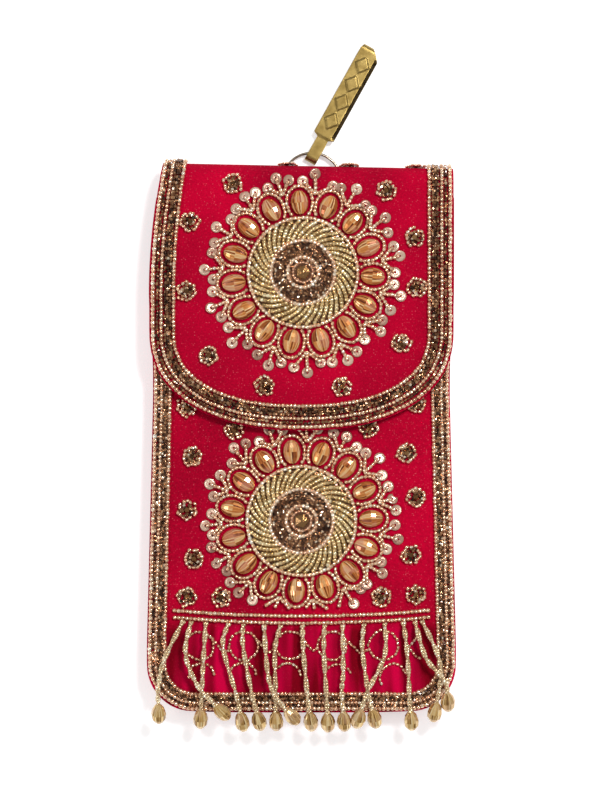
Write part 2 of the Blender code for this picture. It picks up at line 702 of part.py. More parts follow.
def make_strands(beads, collection, cutters):
    """Each strand is a beaded cord with a cut crystal drop at its end."""
    for number, (*places, layer) in enumerate(STRANDS, 1):
        name = f"fringe_strand_{number:02d}"
        points = strand_points(places, layer)
        strand = curve_to_mesh(tube_object(name, points, STRAND_DIAMETER / 2, beads, collection))
        half = DROP_LENGTH / 2
        profile = [
            (0.0, half), (DROP_RADIUS * 0.5, half * 0.8), (DROP_RADIUS, half * -0.1),
            (DROP_RADIUS * 0.6, half * -0.75), (0.0, -half),
        ]
        drop = turned_object(name + "_drop", profile, 6, (0, 0, 0), beads, cutters)
        heading = (points[-1] - points[-2]).normalized()
        down = Vector((heading.x * math.cos(DROP_DROOP), heading.y * math.cos(DROP_DROOP), -math.sin(DROP_DROOP)))
        turn = Vector((0, 0, -1)).rotation_difference(down).to_matrix().to_4x4()
        drop.matrix_world = Matrix.Translation(points[-1] + down * (half - STRAND_DIAMETER / 2)) @ turn
        fuse(strand, [drop])


# Waist hook

def make_ring(steel, collection):
    """A split ring: nearly two turns of wire, one on the other."""
    turn_steps = 20
    count = int(turn_steps * RING_TURNS)
    points = []
    for i in range(count + 1):
        t = i / count
        angle = math.radians(-60) + math.tau * RING_TURNS * t
        z = RING_Z + RING_TURN_PITCH * (smooth_step((t - 0.4) / 0.2) - 0.5)
        points.append((RING_CENTRE_X + RING_RADIUS * math.cos(angle), RING_Y + RING_RADIUS * math.sin(angle), z))
    return tube_object("split_ring", points, RING_WIRE / 2, steel, collection)


def hook_path():
    """The bent strip seen from its edge: (along, height, half width) from the eye's end round to the tongue's."""
    t = HOOK_SHEET
    inner = RING_HEIGHT + 2 * HOOK_CLEARANCE
    eye = (inner + t) / 2
    low = t / 2
    high = low + inner + t
    neck = HOOK_NECK_WIDTH / 2
    plate = HOOK_PLATE_WIDTH / 2
    tongue = HOOK_TONGUE_WIDTH / 2
    points = [(HOOK_EYE_LENGTH, low, neck)]
    steps = 8
    for i in range(steps + 1):
        angle = -math.pi / 2 - math.pi * i / steps
        points.append((eye * math.cos(angle) - HOOK_EYE_DEPTH, low + eye + eye * math.sin(angle), neck))
    start = HOOK_NECK_LENGTH
    points += [(start - 0.0008, high, neck), (start, high + 0.0002, plate)]
    end = start + HOOK_PLATE_LENGTH
    bend = (HOOK_MOUTH + t) / 2
    top = high + 0.0002
    points.append((end - bend - 0.0035, top, plate))
    for i in range(steps + 1):
        angle = math.pi / 2 - math.pi * i / steps
        width = plate - 0.0006 * abs(math.cos(angle))
        points.append((end - bend + bend * math.cos(angle), top - bend + bend * math.sin(angle), width))
    tail = end - bend
    points.append((tail - HOOK_TONGUE_LENGTH * 0.5, top - 2 * bend, tongue))
    points.append((tail - HOOK_TONGUE_LENGTH + 0.003, top - 2 * bend, tongue))
    return points


def make_hook(brass, collection):
    """One strip of brass: an eye round the ring, a plate with pressed diamonds, and a tongue behind it."""
    rows = []
    for along, height, half in hook_path():
        rows.append([(along, -half, height), (along, half, height)])
    made = sheet_object("waist_hook", rows, HOOK_SHEET, brass, collection)
    direction = math.pi / 2 - math.radians(6)
    x = RING_CENTRE_X + RING_RADIUS * math.cos(direction)
    y = RING_Y + RING_RADIUS * math.sin(direction)
    made.matrix_world = Matrix.Translation((x, y, 0)) @ Matrix.Rotation(HOOK_TURN, 4, "Z")
    return made


def make_ring_loop(velvet, collection):
    """A fabric loop round the ring, with its doubled end sewn to the back."""
    x, y = RING_CENTRE_X, RING_Y - RING_RADIUS
    gap = SEAM_GAP
    inner = RING_HEIGHT / 2 + gap + LOOP_CLOTH / 2
    reach = RING_WIRE / 2 + gap + LOOP_CLOTH / 2
    path = []
    steps = 6
    for i in range(steps + 1):
        angle = math.pi / 2 - math.pi * i / steps
        path.append((y + reach * math.cos(angle) + 0.0006, RING_Z + inner * math.sin(angle)))
    path = [(y - LOOP_TAB, path[0][1])] + path + [(y - 0.0022, path[-1][1]), (y - 0.0034, RING_Z + inner - LOOP_CLOTH - gap)]
    path.append((y - LOOP_TAB, RING_Z + inner - LOOP_CLOTH - gap))
    rows = [[(x - LOOP_WIDTH / 2, py, pz), (x + LOOP_WIDTH / 2, py, pz)] for py, pz in path]
    return sheet_object("ring_loop", rows, LOOP_CLOTH, velvet, collection)


def main():
    for existing in list(bpy.data.objects):
        bpy.data.objects.remove(existing)
    pouch = start_collection("phone_pouch")
    cutters = start_collection("phone_pouch_fused_shapes")
    velvet = new_material("red_velvet", (0.55, 0.004, 0.025), 0.85, 0.0)
    gold = new_material("gold_beads", (0.62, 0.45, 0.22), 0.3, 0.9)
    crystal = new_material("crystal_beads", (0.62, 0.40, 0.14), 0.15, 0.2)
    brass = new_material("brass", (0.55, 0.42, 0.14), 0.35, 1.0)
    steel = new_material("steel", (0.5, 0.47, 0.42), 0.3, 1.0)
    make_back_and_flap(velvet, pouch)
    make_front_panel(velvet, pouch)
    make_gusset(velvet, pouch)
    make_flap_border(gold, pouch)
    make_front_border(gold, pouch)
    flap_base, front_base = FLAP_TOP_Z + SEAM_GAP, FRONT_TOP_Z + SEAM_GAP
    header_top = HEADER_Y + HEADER_ROW_PITCH + HEADER_ROW_WIDTH + SEAM_GAP
    make_medallion("flap_medallion", FLAP_MEDALLION, FLAP_MEDALLION_TURN, flap_base, gold, pouch, cutters)
    front = make_medallion("front_medallion", FRONT_MEDALLION, FRONT_MEDALLION_TURN, front_base, gold, pouch, cutters)
    trim_below(front, header_top, cutters)
    make_rosettes("flap_rosette", FLAP_ROSETTES, FLAP_TOP_Z + SEAM_GAP, gold, pouch)
    make_rosettes("front_rosette", FRONT_ROSETTES, FRONT_TOP_Z + SEAM_GAP, gold, pouch)
    make_fold_rosettes(gold, pouch)
    make_snap(steel, pouch)
    make_header(gold, pouch)
    make_strands(crystal, pouch, cutters)
    make_ring(steel, pouch)
    make_ring_loop(velvet, pouch)
    make_hook(brass, pouch)


main()
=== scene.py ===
import math

import bmesh
import bpy
import numpy as np
from mathutils import Matrix, Vector


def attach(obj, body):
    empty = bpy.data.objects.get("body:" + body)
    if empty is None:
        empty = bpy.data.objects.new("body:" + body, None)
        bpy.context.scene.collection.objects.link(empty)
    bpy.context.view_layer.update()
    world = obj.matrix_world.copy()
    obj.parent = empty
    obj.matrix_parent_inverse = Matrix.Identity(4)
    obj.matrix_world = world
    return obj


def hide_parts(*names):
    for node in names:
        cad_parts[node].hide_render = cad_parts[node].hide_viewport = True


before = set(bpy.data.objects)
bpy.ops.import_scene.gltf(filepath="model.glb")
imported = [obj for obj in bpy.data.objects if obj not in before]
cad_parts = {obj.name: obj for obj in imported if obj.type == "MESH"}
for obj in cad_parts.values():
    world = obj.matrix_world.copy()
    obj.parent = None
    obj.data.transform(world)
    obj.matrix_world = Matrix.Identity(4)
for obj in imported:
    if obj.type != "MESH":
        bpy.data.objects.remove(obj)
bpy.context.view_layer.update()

# Velvet cover
# The back, the fold over the top and the flap are one stiffened sheet: board with a thin padding,
# covered in crimson velvet on the outside and turned in at its edges.

HALF_WIDTH = 0.05275
BOTTOM_Y = -0.09425
TOP_Y = 0.09425
CORNER_RADIUS = 0.0145
PANEL_THICKNESS = 0.0016
FRONT_TOP_Z = 0.0126
FLAP_TOP_Z = 0.0165
FLAP_HALF_WIDTH = 0.0525
FLAP_TIP_Y = 0.0016
FLAP_CURVE_LENGTH = 0.0345
FLAP_CURVE_POWER = 2.3
BACK_RISE = 0.0041
SLOPE_START_Y = 0.03875
SLOPE_LENGTH = 0.0300
FOLD_OUTER_RADIUS = (FLAP_TOP_Z - BACK_RISE) / 2
FOLD_RADIUS = FOLD_OUTER_RADIUS - PANEL_THICKNESS / 2
FOLD_Y = TOP_Y - FOLD_OUTER_RADIUS
FOLD_Z = BACK_RISE + FOLD_OUTER_RADIUS
LEAN = 0.0048
LEAN_START_Y = 0.0480
DROOP = 0.0010
DROOP_START_Y = 0.0700
WAIST_SHARE = 0.9725
UNDER_FLAP_GAIN = 0.0275
BELLY_GAIN = 0.48
BELLY_TOP_Y = 0.0121
BELLY_LENGTH = 0.085
SAG = 0.0018
SAG_START_Y = -0.0600


def smooth_step(t):
    t = min(max(t, 0.0), 1.0)
    return t * t * (3 - 2 * t)


def leaned(x, y):
    """X of a point, moved in where the pouch's upper left side leans."""
    t = max((y - LEAN_START_Y) / (TOP_Y - LEAN_START_Y), 0.0)
    return x + LEAN * t**2 * max(-x / HALF_WIDTH, 0.0)


def drooped(x, y):
    """Y of a point, let down a little towards the right end of the top edge."""
    return y - DROOP * (1 + x / HALF_WIDTH) * smooth_step((y - DROOP_START_Y) / 0.0200)


def filled(x, y):
    """A point of the pouch's body: slack just below the flap, full and sagging a little below that."""
    belly = BELLY_GAIN * min(max(BELLY_TOP_Y - y, 0.0), BELLY_LENGTH)
    share = WAIST_SHARE + belly + UNDER_FLAP_GAIN * smooth_step((y - 0.0200) / 0.0300)
    sag = SAG * smooth_step((SAG_START_Y - y) / 0.0300) * max(1 - (x / HALF_WIDTH) ** 4, 0.0)
    return leaned(x * share, y), y - sag


def corner_y(x, half, corner, bottom):
    """Where a panel with rounded lower corners ends, at x across."""
    past = abs(x) - (half - corner)
    return bottom if past <= 0 else bottom + corner - math.sqrt(max(corner**2 - past**2, 0.0))


def flap_end_y(x):
    """Where the flap's full curve ends, at x across."""
    across = min(abs(x) / FLAP_HALF_WIDTH, 1.0)
    return FLAP_TIP_Y + FLAP_CURVE_LENGTH * (1 - (1 - across**FLAP_CURVE_POWER) ** (1 / FLAP_CURVE_POWER))


def new_material(name):
    """A material and its node tree."""
    material = bpy.data.materials.new(name)
    material.use_nodes = True
    return material, material.node_tree


def feed(tree, node, inputs):
    """Gives each named input a value, or the output that it is linked to."""
    for name, value in inputs.items():
        if isinstance(value, bpy.types.NodeSocket):
            tree.links.new(value, node.inputs[name])
        else:
            node.inputs[name].default_value = value


def add_node(tree, kind, inputs, **settings):
    """A new node with its settings and inputs."""
    made = tree.nodes.new("ShaderNode" + kind)
    for name, value in settings.items():
        setattr(made, name, value)
    feed(tree, made, inputs)
    return made


def math_node(tree, operation, *values):
    """The result of an operation on outputs or numbers."""
    return add_node(tree, "Math", dict(enumerate(values)), operation=operation).outputs["Value"]


def map_range(tree, value, low, high, top=1.0):
    """How far a value has come from low to high, as a share of top."""
    ends = {"Value": value, "From Min": low, "From Max": high, "To Max": top}
    return add_node(tree, "MapRange", ends).outputs["Result"]


def mix_colours(tree, factor, first, second):
    return add_node(tree, "Mix", {"Factor": factor, "A": first, "B": second}, data_type="RGBA")


def colour_ramp(tree, factor, stops):
    """The colour at a factor, between stops of (position, colour)."""
    ramp = add_node(tree, "ValToRGB", {"Fac": factor})
    elements = ramp.color_ramp.elements
    for element, (position, colour) in zip(elements, (stops[0], stops[-1])):
        element.position = position
        element.color = (*colour, 1)
    for position, colour in stops[1:-1]:
        elements.new(position).color = (*colour, 1)
    return ramp


def velvet_material(name, deep, bright, glint_colour):
    """Velvet: pile that lies darker and lighter in patches, a soft sheen, and tiny bright specks painted in
    as glints.
    """
    material, tree = new_material(name)
    place = add_node(tree, "TexCoord", {}).outputs["Object"]
    patches = add_node(tree, "TexNoise", {"Vector": place, "Scale": 32, "Detail": 4}).outputs["Fac"]
    pile = add_node(tree, "TexNoise", {"Vector": place, "Scale": 1700, "Detail": 2}).outputs["Fac"]
    cells = add_node(tree, "TexVoronoi", {"Vector": place, "Scale": 1800})
    blend = add_node(tree, "Mix", {"Factor": 0.42, "A": patches, "B": pile}, data_type="FLOAT")
    ramp = colour_ramp(tree, blend.outputs["Result"], ((0.30, deep), (0.70, bright)))
    # Painted glints: a few tiny cells get a bright speckle colour mixed into the velvet's own.
    near = map_range(tree, cells.outputs["Distance"], 0.42, 0.15)
    chosen = map_range(tree, cells.outputs["Color"], 0.66, 1.0, 0.55)
    both = math_node(tree, "MULTIPLY", near, chosen)
    colour = mix_colours(tree, both, ramp.outputs["Color"], (*glint_colour, 1))
    bump = add_node(tree, "Bump", {"Strength": 0.35, "Distance": 0.0002, "Height": pile})
    feed(tree, tree.nodes["Principled BSDF"], {
        "Base Color": colour.outputs["Result"], "Normal": bump.outputs["Normal"], "Roughness": 0.85,
        "Specular IOR Level": 0.05, "Sheen Weight": 0.06, "Sheen Roughness": 0.35,
        "Sheen Tint": (1.0, 0.08, 0.20, 1),
    })
    return material


def bent_sheet(name, place, across, along, thickness, rounding, material):
    """A sheet whose grid is put in place by place(s, t), both from 0 to 1, with a rounded rim."""
    bm = bmesh.new()
    bmesh.ops.create_grid(bm, x_segments=across, y_segments=along, size=0.5)
    for vert in bm.verts:
        vert.co = place(vert.co.x + 0.5, vert.co.y + 0.5)
    bmesh.ops.recalc_face_normals(bm, faces=bm.faces)
    mesh = bpy.data.meshes.new(name)
    bm.to_mesh(mesh)
    bm.free()
    mesh.materials.append(material)
    mesh.shade_smooth()
    piece = bpy.data.objects.new(name, mesh)
    bpy.context.scene.collection.objects.link(piece)
    solid = piece.modifiers.new("Thickness", "SOLIDIFY")
    solid.thickness = thickness
    solid.offset = 0
    solid.use_even_offset = True
    rim = piece.modifiers.new("Rounded rim", "BEVEL")
    rim.width = rounding
    rim.segments = 2
    rim.limit_method = "ANGLE"
    rim.angle_limit = math.radians(50)
    return piece


def cover_place(s, t):
    """A point of the cover's middle layer: up the back, round the fold, and down the flap."""
    x = -math.cos(math.pi * s)
    half = HALF_WIDTH
    back_share, fold_share = 0.44, 0.12
    if t < back_share:
        low = corner_y(x * half, half, CORNER_RADIUS, BOTTOM_Y)
        y = low + (FOLD_Y - low) * t / back_share
        half += (FLAP_HALF_WIDTH - half) * smooth_step((y - SLOPE_START_Y) / SLOPE_LENGTH)
        z = PANEL_THICKNESS / 2 + BACK_RISE * smooth_step((y - SLOPE_START_Y) / SLOPE_LENGTH)
        x, y = filled(x * half, y)
        return x, drooped(x, y), z
    elif t < back_share + fold_share:
        turn = math.pi * (t - back_share) / fold_share - math.pi / 2
        half = FLAP_HALF_WIDTH
        y = FOLD_Y + FOLD_RADIUS * math.cos(turn)
        z = FOLD_Z + FOLD_RADIUS * math.sin(turn)
    else:
        half = FLAP_HALF_WIDTH
        end = flap_end_y(x * half)
        y = FOLD_Y + (end - FOLD_Y) * (t - back_share - fold_share) / (1 - back_share - fold_share)
        z = FLAP_TOP_Z - PANEL_THICKNESS / 2
    return (leaned(x * half, y), drooped(x * half, y), z)


velvet = velvet_material("crimson_velvet", (0.225, 0.0, 0.012), (0.575, 0.0, 0.029), (0.95, 0.18, 0.24))
cover = bent_sheet("velvet_back_and_flap", cover_place, 56, 128, PANEL_THICKNESS, 0.0005, velvet)
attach(cover, "pouch")
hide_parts("back_and_flap")

# Pocket
# The pocket's front is a second stiffened velvet panel, joined to the back by a narrow velvet
# gusset that runs down both sides and along the bottom, sewn to both on the inside.

MOUTH_Y = 0.08225
POCKET_DEPTH = 0.0094
GUSSET_THICKNESS = 0.0010


def front_place(s, t):
    x = -math.cos(math.pi * s) * HALF_WIDTH
    low = corner_y(x, HALF_WIDTH, CORNER_RADIUS, BOTTOM_Y)
    y = low + (MOUTH_Y - low) * t
    return (*filled(x, y), FRONT_TOP_Z - PANEL_THICKNESS / 2)


def gusset_place(s, t):
    """A point of the gusset: t runs down the left side, along the bottom and up the right side."""
    wall = GUSSET_THICKNESS / 2
    half, corner = HALF_WIDTH - wall, CORNER_RADIUS - wall
    straight, bend = MOUTH_Y - (BOTTOM_Y + CORNER_RADIUS), corner * math.pi / 2
    base = 2 * (half - corner)
    way = t * (2 * straight + 2 * bend + base)
    side, way = (-1, way) if t < 0.5 else (1, 2 * straight + 2 * bend + base - way)
    bulge = 0.0003 * math.sin(math.pi * s)
    if way < straight:
        x, y, out = half, MOUTH_Y - way, (1.0, 0.0)
    elif way < straight + bend:
        turn = (way - straight) / corner
        out = (math.cos(turn), -math.sin(turn))
        x, y = half - corner + corner * out[0], BOTTOM_Y + CORNER_RADIUS + corner * out[1]
    else:
        x, y, out = half - corner - (way - straight - bend), BOTTOM_Y + wall, (0.0, -1.0)
    x, y = x + out[0] * bulge, y + out[1] * bulge
    low = PANEL_THICKNESS + BACK_RISE * smooth_step((y - SLOPE_START_Y) / SLOPE_LENGTH)
    high = PANEL_THICKNESS + POCKET_DEPTH
    return (*filled(side * x, y), low + (high - low) * s)


# Below the header of the fringe, upright dark and light stripes are painted into the pile's colour:
# painted shade cast by the strands, with lighter pile between them.
front_velvet = velvet_material(
    "crimson_velvet_front", (0.23, 0.0, 0.012), (0.59, 0.0, 0.030), (0.95, 0.18, 0.24),
)
tree = front_velvet.node_tree
shader = tree.nodes["Principled BSDF"]
place = next(n for n in tree.nodes if n.type == "TEX_COORD").outputs["Object"]
stretch = add_node(tree, "Mapping", {"Vector": place, "Scale": (1.0, 0.10, 0.0)})
strand_shade_bands = add_node(tree, "TexNoise", {"Vector": stretch.outputs["Vector"], "Scale": 170, "Detail": 1})
strand_shade_streaks = colour_ramp(tree, strand_shade_bands.outputs["Fac"], ((0.40, (0.16, 0.0, 0.005)), (0.60, (0.64, 0.0, 0.055))))
apart = add_node(tree, "SeparateXYZ", {"Vector": place})
below = map_range(tree, apart.outputs["Y"], -0.0640, -0.0680, 0.85)
plain = shader.inputs["Base Color"].links[0].from_socket
over = mix_colours(tree, below, plain, strand_shade_streaks.outputs["Color"])
tree.links.new(over.outputs["Result"], shader.inputs["Base Color"])
front = bent_sheet("velvet_front_panel", front_place, 56, 60, PANEL_THICKNESS, 0.0005, front_velvet)
gusset = bent_sheet("velvet_gusset", gusset_place, 6, 160, GUSSET_THICKNESS, 0.0002, velvet)
for piece, node in ((front, "front_panel"), (gusset, "side_gusset")):
    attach(piece, "pouch")
    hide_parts(node)

# Beaded borders
# Five rows of glass beads edge the flap and the pocket's front: gold, small brown, gold, a wide
# row of cut bronze ones, and gold again. They are strung on thread and couched down row by row.

rng = np.random.default_rng(17)
BEAD_LIFT = 0.0009
BORDER_INSET = 0.0005
FRONT_ROW_SHARE = 0.70


def bead_material(name, colours, roughness, metallic, coat):
    """Lined glass beads: each has its own shade, from the bead_tint kept on its points."""
    material, tree = new_material(name)
    tint = add_node(tree, "Attribute", {}, attribute_name="bead_tint")
    shade = colour_ramp(tree, tint.outputs["Fac"], colours)
    place = add_node(tree, "TexCoord", {}).outputs["Object"]
    grain = add_node(tree, "TexNoise", {"Vector": place, "Scale": 1500}).outputs["Fac"]
    bump = add_node(tree, "Bump", {"Strength": 0.5, "Distance": 0.0003, "Height": grain})
    feed(tree, tree.nodes["Principled BSDF"], {
        "Base Color": shade.outputs["Color"], "Normal": bump.outputs["Normal"], "Roughness": roughness,
        "Metallic": metallic, "Coat Weight": coat, "Coat Roughness": 0.08,
    })
    return material


def as_shape(bm):
    """A finished mesh as lists of its points and faces, to be laid many times."""
    bm.verts.index_update()
    shape = np.array([vert.co[:] for vert in bm.verts]), [[v.index for v in face.verts] for face in bm.faces]
    bm.free()
    return shape


def round_bead(segments, rings):
    """A round bead of unit size, with its hole along X."""
    bm = bmesh.new()
    bmesh.ops.create_uvsphere(bm, u_segments=segments, v_segments=rings, radius=0.5)
    bmesh.ops.rotate(bm, verts=bm.verts, cent=(0, 0, 0), matrix=Matrix.Rotation(math.pi / 2, 3, "Y"))
    return bm


def bead_shape(segments, rings, flat_ends=0.75):
    """A bead of unit size along X, flat at both ends."""
    bm = round_bead(segments, rings)
    for vert in bm.verts:
        vert.co.x = min(max(vert.co.x, -0.5 * flat_ends), 0.5 * flat_ends) / flat_ends
    return as_shape(bm)


def lay_beads(name, shape, places, tints, material, smooth=True):
    """One piece of many like beads: the shape at each place, a 3 by 4 matrix, with its own tint."""
    points, faces = shape
    count, size = len(places), len(points)
    verts = np.einsum("nij,kj->nki", places[:, :, :3], points) + places[:, None, :, 3]
    order = [[v + n * size for v in face] for n in range(count) for face in faces]
    mesh = bpy.data.meshes.new(name)
    mesh.from_pydata(verts.reshape(-1, 3).tolist(), [], order)
    side = np.arctan2(points[:, 1], points[:, 2]) / math.pi
    for mark, values in (
        ("bead_tint", np.repeat(tints, size)), ("bead_side", np.tile(side, count)),
        ("bead_along", np.tile(points[:, 0], count)),
    ):
        mesh.attributes.new(mark, "FLOAT", "POINT").data.foreach_set("value", values)
    mesh.materials.append(material)
    if smooth:
        mesh.shade_smooth()
    piece = bpy.data.objects.new(name, mesh)
    bpy.context.scene.collection.objects.link(piece)
    return piece


def bead_row(path, pitch, size, up=(0, 0, 1), slack=0.10):
    """Places for a row of beads along a path, each with a little freedom on its thread."""
    path = np.asarray(path, float)
    ups = np.broadcast_to(np.asarray(up, float), path.shape)
    steps = np.linalg.norm(np.diff(path, axis=0), axis=1)
    reached = np.concatenate(([0], np.cumsum(steps)))
    count = max(int(round(reached[-1] / pitch)), 1)
    at = (np.arange(count) + 0.5) * reached[-1] / count
    near = reached[-1] / count * 0.3
    centre, before, after, lift = (
        np.stack([np.interp(np.clip(s, 0, reached[-1]), reached, line[:, k]) for k in range(3)], axis=1)
        for s, line in ((at, path), (at - near, path), (at + near, path), (at, ups))
    )
    heading = after - before + rng.normal(0, slack * near, (count, 3))
    heading /= np.linalg.norm(heading, axis=1)[:, None]
    side = np.cross(lift, heading)
    side /= np.linalg.norm(side, axis=1)[:, None]
    top = np.cross(heading, side)
    turn = rng.uniform(-0.6, 0.6, count)[:, None]
    side, top = side * np.cos(turn) + top * np.sin(turn), top * np.cos(turn) - side * np.sin(turn)
    scale = np.array(size) * (1 + rng.normal(0, 0.05, (count, 3)))
    centre = centre + rng.normal(0, slack * size[1] * 0.35, (count, 3)) * (1, 1, 0.3)
    return np.stack([heading * scale[:, :1], side * scale[:, 1:2], top * scale[:, 2:], centre], axis=2)


def shades(places, shade, spread=0.10):
    """A tint round one shade for each bead."""
    return np.clip(rng.normal(shade, spread, len(places)), 0.0, 1.0)


def flap_point(x, y):
    """A point on the flap's face and its outward direction; past the fold line, y goes round the fold."""
    if y <= FOLD_Y:
        return (leaned(x, y), drooped(x, y), FLAP_TOP_Z), (0, 0, 1)
    turn = (y - FOLD_Y) / FOLD_OUTER_RADIUS
    out = (0, math.sin(turn), math.cos(turn))
    y = FOLD_Y + FOLD_OUTER_RADIUS * out[1]
    return (leaned(x, y), drooped(x, y), FOLD_Z + FOLD_OUTER_RADIUS * out[2]), out


def flap_edge(inset):
    """The flap's edge line, moved in by inset, from behind its top left corner round to its top right."""
    half, length = FLAP_HALF_WIDTH, FLAP_CURVE_LENGTH
    over = FOLD_Y + FOLD_OUTER_RADIUS * math.pi / 2
    line = [(-half + inset, over + (FLAP_TIP_Y + length - over) * i / 40) for i in range(40)]
    bend = 2 / FLAP_CURVE_POWER
    for i in range(121):
        turn = math.pi * i / 120
        cosine, sine = math.cos(turn), max(math.sin(turn), 0.0)
        slope = Vector((
            -abs(cosine) ** (2 - bend) * math.copysign(1, cosine) / half, -sine ** (2 - bend) / length,
        )).normalized()
        x = -half * math.copysign(abs(cosine) ** bend, cosine)
        line.append((x - slope.x * inset, FLAP_TIP_Y + length - length * sine**bend - slope.y * inset))
    line += [(half - inset, over + (FLAP_TIP_Y + length - over) * i / 40) for i in range(39, -1, -1)]
    points, ups = zip(*(flap_point(x, y) for x, y in line))
    return np.array(points) + np.array(ups) * BEAD_LIFT, np.array(ups)


def front_edge(inset):
    """The front panel's edge line, moved in by inset, from its top left corner round to its top right."""
    half = HALF_WIDTH - BORDER_INSET - inset
    corner = CORNER_RADIUS - BORDER_INSET - inset + 0.0012
    bottom = BOTTOM_Y + BORDER_INSET + inset
    top = MOUTH_Y - 0.0010
    line = [(-half, top + (bottom + corner - top) * i / 40) for i in range(40)]
    for side, angles in ((-1, np.linspace(0, math.pi / 2, 24)), (1, np.linspace(math.pi / 2, 0, 24))):
        line += [
            (side * (half - corner * (1 - math.cos(a))), bottom + corner * (1 - math.sin(a))) for a in angles
        ]
    line += [(half, top + (bottom + corner - top) * i / 40) for i in range(39, -1, -1)]
    points = np.array([(*filled(x, y), FRONT_TOP_Z + BEAD_LIFT) for x, y in line])
    return points, np.broadcast_to((0.0, 0.0, 1.0), points.shape)


# Each row of a border: its inset from the edge, its pitch, its beads' size and their shade.
GOLD_ROWS = (
    (0.0008, 0.00150, (0.00145, 0.00155, 0.00150), 0.62),
    (0.0036, 0.00140, (0.00135, 0.00150, 0.00150), 0.58),
    (0.0079, 0.00135, (0.00130, 0.00155, 0.00150), 0.60),
)
CUT_ROWS = (
    (0.0022, 0.00120, (0.00125, 0.00115, 0.00110), 0.28),
    (0.00495, 0.00105, (0.00115, 0.00115, 0.00125), 0.32),
    (0.0058, 0.00105, (0.00115, 0.00115, 0.00145), 0.32),
    (0.0066, 0.00105, (0.00115, 0.00115, 0.00125), 0.32),
)
gold_beads = bead_material(
    "gold_lined_beads",
    (
        (0.0, (0.26, 0.09, 0.045)), (0.25, (0.52, 0.25, 0.14)), (0.55, (0.90, 0.55, 0.35)),
        (0.8, (1.0, 0.76, 0.54)), (1.0, (1.0, 0.94, 0.80)),
    ),
    0.17, 0.80, 0.4,
)
cut_glass = bead_material(
    "bronze_cut_beads",
    (
        (0.0, (0.050, 0.017, 0.007)), (0.35, (0.24, 0.10, 0.04)), (0.7, (0.64, 0.37, 0.19)),
        (1.0, (1.0, 0.86, 0.66)),
    ),
    0.12, 0.75, 0.5,
)
seed_bead = bead_shape(8, 4)
cut_bead = bead_shape(6, 4, 0.85)
for node, edge in (("flap_border", flap_edge), ("front_border", front_edge)):
    for kind, rows, shape, finish, spread, slack in (
        ("gold", GOLD_ROWS, seed_bead, gold_beads, 0.14, 0.10),
        ("bronze", CUT_ROWS, cut_bead, cut_glass, 0.28, 0.30),
    ):
        places, tints = [], []
        for inset, pitch, size, shade in rows:
            line, ups = edge(inset + BORDER_INSET if edge is flap_edge else inset * FRONT_ROW_SHARE)
            row = bead_row(line, pitch, size, ups, slack)
            places.append(row)
            tints.append(shades(row, shade, spread))
        places, tints = np.concatenate(places), np.concatenate(tints)
        piece = lay_beads(f"{node}_{kind}_beads", shape, places, tints, finish, kind == "gold")
        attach(piece, "pouch")
        if kind == "gold":
            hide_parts(node)

# Medallions
# A padded ring of slanted bead rows lies round a field of cut bronze beads and a centre stone.
# Fifteen cut crystals stand round it in loops of beads, with fans of sequins on stems between them.

PETALS = 15
ROPES = 40
PETAL_PITCH = math.tau / PETALS
ROPE_BAND = (0.0114, 0.0181)
PADDING_HEIGHT = 0.0011
CRYSTAL_RADIUS, CRYSTAL_SIZE = 0.0241, (0.0084, 0.0060, 0.0030)
CRYSTAL_CUTS = 17
SEQUIN_PLACES = ((-0.143, 0.0320), (0.0, 0.0338), (0.143, 0.0320))
SEQUIN_SIZE = 0.0038
HUB_RINGS = ((0.0053, 0.0012), (0.0110, 0.0013), (0.0188, 0.0005))
FIELD_RADII = np.arange(0.0063, 0.0103, 0.00078)
ROPE_START, ROPE_REACH, ROPE_SLANT = 0.0116, 0.0064, 0.42
PETAL_CENTRE, PETAL_LENGTH, PETAL_HALF_WIDTH = 0.0246, 0.0052, 0.0045
STEM_ROOT = 0.0274
BED_SIZE = (0.0384, 0.0384, 0.0030)
STONE_SIZE = (0.0054, 0.0054, 0.0026)


def round_point(centre, radius, angle):
    return centre[0] + radius * math.cos(angle), centre[1] + radius * math.sin(angle)


def ring_line(radius, height, centre, steps=72):
    return [(*round_point(centre, radius, a), height) for a in np.linspace(0, math.tau, steps + 1)]


def turned(points, angle, centre, height):
    """Local points, x outwards from the medallion's centre, turned and moved to their place."""
    c, s = math.cos(angle), math.sin(angle)
    return [(centre[0] + x * c - y * s, centre[1] + x * s + y * c, height + z) for x, y, z in points]


# The crystals are foiled amber glass. Their colour holds painted reflections, a different tone on each
# facet; a painted rosy sheen in places; and painted shade in the darker cuts between the facets.
crystal, tree = new_material("amber_crystal")
side, tint, lengthwise = (
    add_node(tree, "Attribute", {}, attribute_name=mark).outputs["Fac"]
    for mark in ("bead_side", "bead_tint", "bead_along")
)
place = add_node(tree, "TexCoord", {}).outputs["Object"]
cloud = add_node(tree, "TexNoise", {"Vector": place, "Scale": 240, "Detail": 2}).outputs["Fac"]
cut = math_node(tree, "MULTIPLY_ADD", side, CRYSTAL_CUTS, math_node(tree, "MULTIPLY", tint, 37))
end = math_node(tree, "FLOOR", math_node(tree, "MULTIPLY", lengthwise, 1.9))
cell = add_node(tree, "CombineXYZ", {"X": math_node(tree, "FLOOR", cut), "Y": end}).outputs["Vector"]
